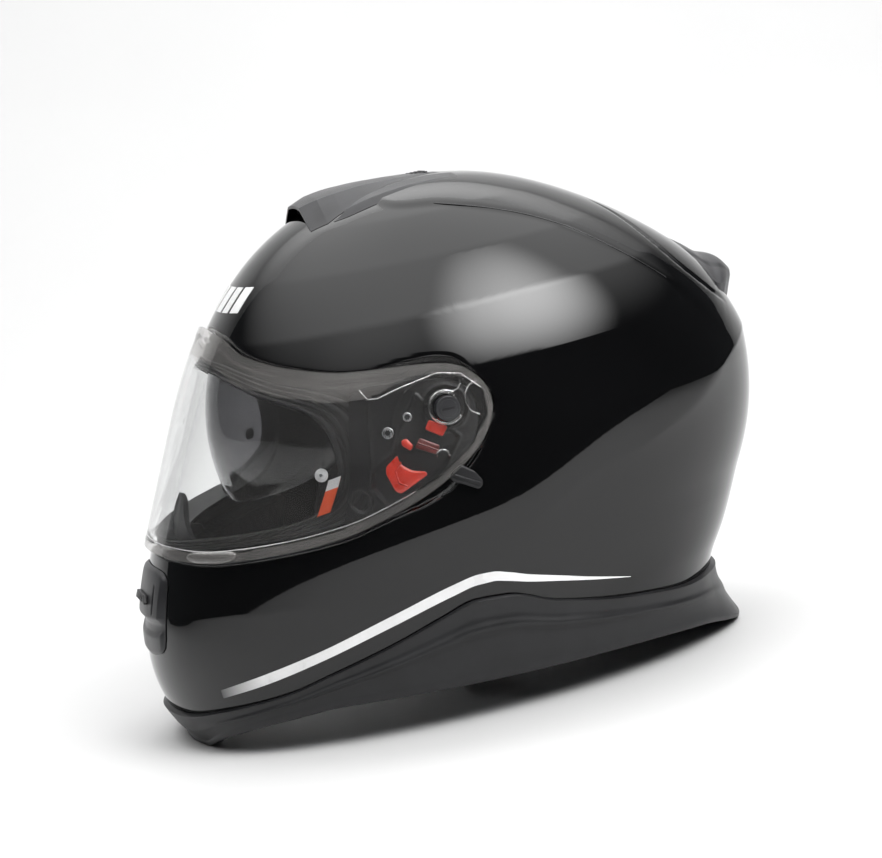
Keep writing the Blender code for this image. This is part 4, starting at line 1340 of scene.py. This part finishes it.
def build_top_slider():
    low, high = (np.array(v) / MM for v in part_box("top_vent_slider"))
    middle = (low + high) / 2
    half = (high - low) / 2
    outline = [(-half[0], -half[1] + 1.5), (-half[0] + 1.5, -half[1]), (half[0] - 1.5, -half[1]),
               (half[0], -half[1] + 1.5), (half[0], half[1] - 2), (half[0] - 3, half[1]),
               (-half[0] + 3, half[1]), (-half[0], half[1] - 2)]
    at = Matrix.Translation((middle[0] * MM, middle[1] * MM, 0))
    top = high[2] - 1.0
    body = prism("body", outline, low[2] - 0.8, top - 0.45, at, SATIN, 0.35, 3)
    ribs = [body]
    for k in range(4):
        y = -half[1] + 2.6 + k * 2.2
        ribs.append(prism("rib", [(-half[0] + 2.2, y), (half[0] - 2.2, y), (half[0] - 2.2, y + 1),
                                  (-half[0] + 2.2, y + 1)], top - 0.6, top, at, SATIN, 0.25))
    slider = join("top_vent_switch", *ribs)
    place(slider, "top_vent_slider", "satin_black", "top_vent_slider")


# the rear vent: its roof's line (y, z), its half width at shares along it, and its outlets' place
REAR_ROOF = [(120, 221.3), (129.4, 218), (140, 208.8), (151.4, 200.6), (160.4, 194), (168, 191.2),
             (175.6, 183.4)]
REAR_WIDTH = graph([0, 0.35, 0.7, 0.9, 1], [36, 42, 43, 38, 31], False)
REAR_MOUTH = (15, 165.0, 181.0)


def build_rear_vent():
    """A raised exhaust with a roof that overhangs two dark outlets."""
    curve, knots = spline(REAR_ROOF)
    roof = curve(np.linspace(0, knots[-1], 60))
    share = np.linspace(0, 1, 60)
    half = REAR_WIDTH(share)
    across = np.sin(np.linspace(-math.pi / 2, math.pi / 2, 71))
    x = across[None] * half[:, None]
    y = roof[:, 0][:, None] - 10 * np.abs(across[None]) ** 2.5 * ease(0.5, 1, share)[:, None]
    z = roof[:, 1][:, None] - (x / 43) ** 2 * 14
    step = 0.9 * ease(0.66, 0.6, np.abs(across))[None] * ease(0.1, 0.2, share)[:, None]
    outer = np.stack([x, y, z + step], -1) * MM
    drop = np.array([0, -3.0, -8.5])
    depth = ease(0.0, 0.35, share)[:, None, None]
    inner = outer + drop * MM * (0.12 + 0.88 * depth)
    vent = slab("rear_exhaust", outer, inner, VENT_SATIN, 30)
    place(vent, "helmet", "satin_black", "rear_vent_body")
    mouths = []
    for s in (-1, 1):
        at = Matrix.Translation((s * REAR_MOUTH[0] * MM, REAR_MOUTH[1] * MM, REAR_MOUTH[2] * MM))
        mouths.append(prism("mouth", rectangle(11, 3), -2.6, 2.6, at, RUBBER, 0.5))
    place(join("exhaust_grilles", *mouths), "helmet", "black_rubber")


CHIN_VENT = [(0, 0.735, 0.864), (6, 0.735, 0.864), (11, 0.738, 0.860), (14, 0.748, 0.850),
             (14.8, 0.760, 0.835)]


def build_chin_vent():
    """Chin vent cover: a wedge that stands out toward a lip, with the air slot below it."""
    top_edge, low_edge = edge_curves(CHIN_VENT)
    end = CHIN_VENT[-1][0]
    turn = np.linspace(-end, end, 121)
    side = np.abs(turn)
    down, share = between(top_edge(side), low_edge(side), 90)
    rise = graph([0, 0.05, 0.12, 0.45, 0.56, 0.60, 0.66, 0.72, 0.8, 0.95, 1],
                 [0.6, 2.2, 2.8, 3.5, 3.6, 2.0, 0.5, 0.6, 1.8, 1.6, 0.6], False)(share)
    height = 0.5 + (rise - 0.5) * ease(end, 12.6, side)
    panel = np.exp(-((side - 9.5) / 0.35) ** 2) * ease(0.15, 0.2, share) * ease(0.55, 0.5, share)
    height = height - 0.5 * panel
    cover = slab("chin_vent_cover", surface(down, turn, height), surface(down, turn, 0.2), VENT_SATIN, 35)
    place(cover, "helmet", "satin_black", "chin_vent_body")
    at = frame_at(0.783, 0)
    outline = [(-13.6, -2.3), (13.6, -2.3), (13.9, -1.4), (11.3, 2.1), (10.6, 2.4), (-10.6, 2.4),
               (-11.3, 2.1), (-13.9, -1.4)]
    switch = [prism("switch", outline, 2.9, 4.9, at, SATIN, 0.5, 3)]
    for k in (-1, 0, 1):
        switch.append(prism("grip", rectangle(8, 0.3, k * 1.3), 4.7, 5.3, at, SATIN, 0.2))
    place(join("chin_vent_switch", *switch), "chin_vent_slider", "satin_black", "chin_vent_slider")


# ---------------------------------------------------------------- trim

def build_trim():
    """Lower trim: a satin band from a shadow line under the shell down to a flared, rolled rim."""
    turn = np.linspace(-180, 180, 481)[:-1]
    side = wrapped(turn)
    flare = FLARE(side)
    bottom = EDGE_HEIGHT(side)
    top_down = down_at_height(TRIM_HEIGHT(side), side)
    low_down = rim_down(turn)
    shares = np.concatenate([[0, 0.012, 0.03], np.linspace(0.07, 1, 34)])
    # a soft ridge runs along the trim's middle from the chin to behind the ear
    ridge_at = graph([0, 40, 70, 100, 140, 180], [0.55, 0.5, 0.42, 0.40, 0.45, 0.5])(side)
    ridge_high = graph([0, 30, 60, 84, 110, 150, 180], [0.2, 0.6, 1.5, 2.0, 1.6, 0.8, 0.5])(side)
    outside = []
    for share in shares:
        out = 2.9 + (flare - 3.4) * share ** 1.6
        out = out + ridge_high * np.exp(-((share - ridge_at) / 0.10) ** 2) * ease(0, 0.1, share)
        out = out * ease(-0.02, 0.015, share) + 0.2
        outside.append(surface(top_down + (low_down - top_down) * share, turn, out))

    def at_height(out, height):
        points = surface(low_down, turn, out)
        return np.concatenate([points[:, :2], (height * MM)[:, None]], -1)
    rolled = [at_height(flare - 1.5 + 1.5 * math.cos(angle), bottom + 3 - 3 * math.sin(angle))
              for angle in np.radians([15, 40, 65, 90])]
    inner = [at_height(-4.5, bottom), at_height(-6.0, bottom + 1.5),
             at_height(-6.0, bottom + RIM_ABOVE_EDGE - 0.4)]
    inner += [surface(top_down + (low_down - top_down) * v, turn, 0.15) for v in (1.0, 0.5, 0.0)]
    trim = ring_strip("lower_trim", outside + rolled + inner, SATIN, sharp=45)
    place(trim, "helmet", "satin_black", "rim_trim")


# ---------------------------------------------------------------- decoration

# (turn, upper edge down, lower edge down); the corner above the lever is its highest point
STRIPE = [(32, 0.9090, 0.9215), (44, 0.8895, 0.9045), (55.5, 0.8667, 0.8817), (69.6, 0.8300, 0.8465),
          (80, 0.8035, 0.8205), (84.5, 0.7965, 0.8125), (87, 0.7975, 0.8125), (90, 0.8045, 0.8180),
          (94, 0.8164, 0.8275), (100, 0.8307, 0.8388), (106.5, 0.8460, 0.8508), (116, 0.8660, 0.8668)]


def build_crest_shade_lines():
    """Painted shade: a thin dark satin bead laid where the slit under the crest's edge lies in shadow,
    from above the ear to the back.
    """
    path = [point for point in CREST_EDGE if 80 < point[1] < 140]
    for s, name in SIDES:
        line = line_on_form(path, 0.42, 90) * (s, 1, 1)
        # painted shade: this dark bead stands in for the shadow in the slit under the crest
        shade_bead = tube(f"crest_painted_shade_{name}", line, 0.55, SATIN, flat=0.6)
        place(shade_bead, "helmet", "satin_black")


def build_stripes():
    turns, tops, lows = zip(*STRIPE)
    top_edge, low_edge = graph(turns, tops, False), graph(turns, lows, False)
    turn = np.linspace(turns[0], turns[-1], 240)
    down, _ = between(top_edge(turn), low_edge(turn), 9)
    lift = relief(down, turn)
    for s, name in SIDES:
        outer = surface(down, turn, lift + 0.14) * (s, 1, 1)
        inner = surface(down, turn, lift - 0.1) * (s, 1, 1)
        stripe = slab(f"side_line_{name}", outer, inner, STRIPE_FILM)
        place(stripe, "helmet", "white_film", f"stripe_{name}")


# the forehead's bars, (first turn, width in degrees), the line they start on and their height
BADGE_BARS = [(-17.5, 5.0), (-10.5, 5.0), (-3.5, 7.0), (5.5, 5.0), (12.5, 5.5)]
BADGE_TOP, BADGE_HEIGHT = 0.303, 0.043


def build_badge():
    """Plain mark on the forehead: slanted bars with no lettering."""
    rows = np.linspace(0, 1, 12)[:, None]
    down = BADGE_TOP + BADGE_HEIGHT * rows
    bars = []
    for start, width in BADGE_BARS:
        turn = start + width * np.linspace(0, 1, 8) + (1 - rows) * 2.2
        bars.append(slab("bar", surface(down, turn, 0.32), surface(down, turn, 0.02), FILM))
    place(join("forehead_mark", *bars), "helmet", "white_film", "forehead_badge")


# ---------------------------------------------------------------- lining

def pad(name, table, base, rise, power, mat, rows, columns, turns=None, seams=(), side=1):
    """A stuffed pad on the inside of the form, crowned toward the head."""
    top_edge, low_edge = edge_curves(table)
    first, last = turns if turns else (-table[-1][0], table[-1][0])
    turn = np.linspace(first, last, columns)
    at = wrapped(turn)
    down, share = between(top_edge(at), low_edge(at), rows)
    across = np.linspace(0, 1, columns)
    edge = (1 - np.abs(2 * share - 1) ** power) ** 0.5
    edge = edge * (1 - np.abs(2 * across - 1) ** (power * 1.6)) ** 0.5
    height = rise * edge
    for line in seams:
        height = height - 1.6 * np.exp(-((share - line) / 0.02) ** 2) * edge
    puff = 0.5 * np.sin(turn * 0.9) * np.sin(share * 9) * edge
    inward = surface(down, turn, base - height - puff) * (side, 1, 1)
    back = surface(down, turn, base) * (side, 1, 1)
    return slab(name, back, inward, mat, 60)


# the foam's inner face under the form
FOAM_INSIDE = -40.0


def build_lining():
    inside = FOAM_INSIDE
    cheek = [(65, 0.63, 0.86), (75, 0.60, 0.865), (100, 0.60, 0.86), (112, 0.63, 0.85)]
    for s, name in SIDES:
        made = pad(f"cheek_cushion_{name}", cheek, inside, 16, 3.2, LINING, 60, 80, (65, 112),
                   seams=(0.3, 0.72), side=s)
        place(made, "helmet", "black_fabric", f"cheek_pad_{name}")
    roll = pad("neck_cushion", [(0, 0.83, 0.90), (130, 0.82, 0.90), (180, 0.80, 0.91)], inside, 6,
               2.6, FABRIC, 30, 160, (125, 235), seams=(0.5,))
    place(roll, "helmet", "black_fabric", "neck_roll")
    build_crown_pad(inside)
    curtain = pad("chin_skirt", [(0, 0.95, 0.98), (25, 0.945, 0.965), (48, 0.925, 0.94)], -6.6, 13,
                  2.0, FABRIC, 16, 140)
    place(curtain, "helmet", "black_fabric", "chin_curtain")
    place_material("eps_liner", FOAM)
    place_material("eps_chin", FOAM)


def build_crown_pad(inside):
    turn = np.linspace(-180, 180, 145)[:-1]
    ends = 0.34 + 0.2 * (1 - np.cos(np.radians(turn))) / 2
    share = np.linspace(0.02, 1, 60)[:, None]
    down = share * ends
    edge = (1 - share ** 6) ** 0.5
    quilt = 1.4 * np.abs(np.sin(share * 4.5 * math.pi)) ** 0.4
    back = surface(down, turn, inside)
    front = surface(down, turn, inside - (4.6 + quilt) * edge - 0.1)
    lines, count = down.shape
    verts = np.concatenate([back.reshape(-1, 3), front.reshape(-1, 3)])
    size = lines * count
    faces = grid_faces(lines, count, 0, True) + grid_faces(lines, count, size, True, flip=True)
    for j in range(count):
        k = (j + 1) % count
        last = (lines - 1) * count
        faces.append((last + j, size + last + j, size + last + k, last + k))
    faces.append(tuple(range(count)))
    faces.append(tuple(size + j for j in range(count))[::-1])
    made = mesh_object("crown_cushion", verts, faces, FABRIC, 60)
    place(made, "helmet", "black_fabric", "crown_pad")


# ---------------------------------------------------------------- strap

STRAP_PATH = [(80, 30), (76, 20), (64, 12.5), (44, 9.5), (17, 8.5)]
STRAP_EDGES = (-27.6, -5.6)


def build_strap():
    center, knots = spline(STRAP_PATH)
    points = center(np.linspace(0, knots[-1], 90))
    along = np.gradient(points, axis=0)
    along /= np.linalg.norm(along, axis=1, keepdims=True)
    side = np.stack([-along[:, 1], along[:, 0]], -1)
    width = np.linspace(0, 1, 25)
    y = STRAP_EDGES[0] + (STRAP_EDGES[1] - STRAP_EDGES[0]) * width
    thick = 0.85 - 0.45 * np.abs(2 * width - 1) ** 8
    sag = 0.5 * np.sin(np.linspace(0, math.pi, 90))[:, None] * np.sin(width * math.pi)[None]

    def sheet(sign):
        offset = sign * thick[None] + sag
        flat = points[:, None] + side[:, None] * offset[..., None]
        return np.stack([flat[..., 0], np.broadcast_to(y, flat.shape[:2]), flat[..., 1]], -1) * MM
    for s, name in SIDES:
        scale = np.array([s, 1, 1])
        made = slab(f"chin_webbing_{name}", sheet(1) * scale, sheet(-1) * scale, WEBBING)
        place(made, "helmet", "black_webbing", f"strap_{name}")
        place_material(f"strap_anchor_{name}", STEEL)
    place_material("buckle_body", STEEL)
    place_material("buckle_lever", RED)


# ---------------------------------------------------------------- studio

AZIMUTH = math.radians(77.0)
ELEVATION = math.radians(8.5)
ROLL = math.radians(11.0)
DISTANCE = 1.5
LOOK_AT = Vector((0, 0.0034, 0.130))
SENSOR = 36
FOCAL = 2800 / 882 * SENSOR
# level and away from the camera, behind the helmet
BACK = Vector((-math.sin(AZIMUTH), math.cos(AZIMUTH), 0))


def build_studio():
    floor_shade = Paint("studio_floor", (0.56, 0.56, 0.56), 0.6)
    floor_shade.vary(3, 0.015, 0.03)
    floor_shade.bump(floor_shade.noise(60, 2), 0.0002, 0.05)
    bend = np.radians(np.arange(10, 91, 10))
    depth = np.concatenate([[-0.75, 0.0, 1.2], 1.2 + 0.9 * np.sin(bend), [2.1, 2.1]])
    rise = np.concatenate([[0, 0, 0], 0.9 - 0.9 * np.cos(bend), [2.2, 3.4]])
    across = Vector((math.cos(AZIMUTH), math.sin(AZIMUTH), 0))
    verts, faces = [], []
    for d, h in zip(depth, rise):
        for w in (-2.6, 2.6):
            verts.append(tuple(BACK * float(d) + across * w + Vector((0, 0, float(h) - 0.0002))))
    for i in range(len(depth) - 1):
        faces.append((2 * i, 2 * i + 1, 2 * i + 3, 2 * i + 2))
    floor = mesh_object("studio_sweep", verts, faces, floor_shade.mat, 0)
    world = bpy.data.worlds.new("studio")
    world.use_nodes = True
    world.node_tree.nodes["Background"].inputs["Color"].default_value = (0.9, 0.95, 1, 1)
    world.node_tree.nodes["Background"].inputs["Strength"].default_value = 0.05
    bpy.context.scene.world = world
    bpy.context.scene.view_settings.view_transform = 'Standard'


def aim(ob, at, target):
    """Put a light or panel at a place, facing a target."""
    ob.location = at
    ob.rotation_mode = 'QUATERNION'
    ob.rotation_quaternion = (Vector(target) - Vector(at)).to_track_quat('-Z', 'Y')


def softbox(name, at_place, target, width, height, radiance):
    """An area light of even brightness."""
    light = bpy.data.lights.new(name, 'AREA')
    light.shape = 'RECTANGLE'
    light.size, light.size_y = width, height
    light.energy = radiance * math.pi * width * height
    ob = add_object(name, light)
    aim(ob, at_place, target)
    return ob


def glow(name, at_place, target, width, height, radiance):
    """A glowing panel, brightest in its middle and fading to nothing at its edge."""
    mat = bpy.data.materials.new(name)
    mat.use_nodes = True
    tree = mat.node_tree
    tree.nodes.remove(tree.nodes["Principled BSDF"])
    coords = tree.nodes.new("ShaderNodeTexCoord").outputs["Object"]
    squared = tree.nodes.new("ShaderNodeMapping")
    squared.inputs["Scale"].default_value = (1 / width, 1 / height, 1)
    tree.links.new(coords, squared.inputs["Vector"])
    away = tree.nodes.new("ShaderNodeVectorMath")
    away.operation = 'LENGTH'
    tree.links.new(squared.outputs["Vector"], away.inputs[0])
    fall = tree.nodes.new("ShaderNodeMapRange")
    fall.interpolation_type = 'SMOOTHSTEP'
    fall.inputs["From Min"].default_value = 0.05
    fall.inputs["From Max"].default_value = 0.5
    fall.inputs["To Min"].default_value = radiance
    fall.inputs["To Max"].default_value = 0.0
    tree.links.new(away.outputs["Value"], fall.inputs["Value"])
    light = tree.nodes.new("ShaderNodeEmission")
    tree.links.new(fall.outputs["Result"], light.inputs["Strength"])
    clear = tree.nodes.new("ShaderNodeBsdfTransparent")
    both = tree.nodes.new("ShaderNodeAddShader")
    tree.links.new(light.outputs["Emission"], both.inputs[0])
    tree.links.new(clear.outputs["BSDF"], both.inputs[1])
    tree.links.new(both.outputs["Shader"], tree.nodes["Material Output"].inputs["Surface"])
    half_w, half_h = width / 2, height / 2
    corners = [(-half_w, -half_h, 0), (half_w, -half_h, 0), (half_w, half_h, 0), (-half_w, half_h, 0)]
    ob = mesh_object(name, corners, [(0, 1, 2, 3)], mat, 0)
    aim(ob, at_place, target)
    ob.visible_camera = False
    return ob


def toward(azimuth, elevation):
    """Unit vector from the helmet: azimuth 0 is ahead of it, 90 its left, in degrees."""
    a, e = math.radians(azimuth), math.radians(elevation)
    return Vector((math.sin(a) * math.cos(e), -math.cos(a) * math.cos(e), math.sin(e)))


def build_lights():
    middle = Vector((0, 0, 0.13))
    glow("ceiling_glow", middle + Vector((0, 0.1, 1.6)), middle, 6.0, 6.0, 2.5)
    glow("key_glow", middle + toward(121, 44) * 1.7, middle, 1.9, 1.5, 12.0)
    glow("side_glow", middle + toward(60, 40) * 1.9, middle, 2.6, 1.3, 0.3)
    backdrop = softbox("backdrop", Vector((0, 0, 2.9)) + BACK * 1.0, Vector((0, 0, 0.4)) + BACK * 2.1,
                       3.0, 1.0, 6)
    backdrop.visible_glossy = False


def build_camera():
    data = bpy.data.cameras.new("camera")
    data.lens = FOCAL
    data.sensor_width = SENSOR
    data.clip_start, data.clip_end = 0.05, 50
    data.dof.use_dof = False
    away = Vector((math.sin(AZIMUTH) * math.cos(ELEVATION), -math.cos(AZIMUTH) * math.cos(ELEVATION),
                   math.sin(ELEVATION)))
    right = Vector((math.cos(AZIMUTH), math.sin(AZIMUTH), 0))
    up = away.cross(right)
    image_right = right * math.cos(ROLL) - up * math.sin(ROLL)
    image_up = right * math.sin(ROLL) + up * math.cos(ROLL)
    at = LOOK_AT + away * DISTANCE
    ob = add_object("camera", data)
    ob.matrix_world = Matrix(((image_right.x, image_up.x, away.x, at.x),
                              (image_right.y, image_up.y, away.y, at.y),
                              (image_right.z, image_up.z, away.z, at.z), (0, 0, 0, 1)))
    bpy.context.scene.camera = ob


build_shell()
build_gasket()
build_breath_guard()
build_visor_details(build_visor())
build_pins()
build_mechanism()
build_sun_visor()
build_lever()
build_top_vent()
build_rear_vent()
build_chin_vent()
build_trim()
build_crest_shade_lines()
build_stripes()
build_badge()
build_lining()
build_strap()
build_studio()
build_lights()
build_camera()
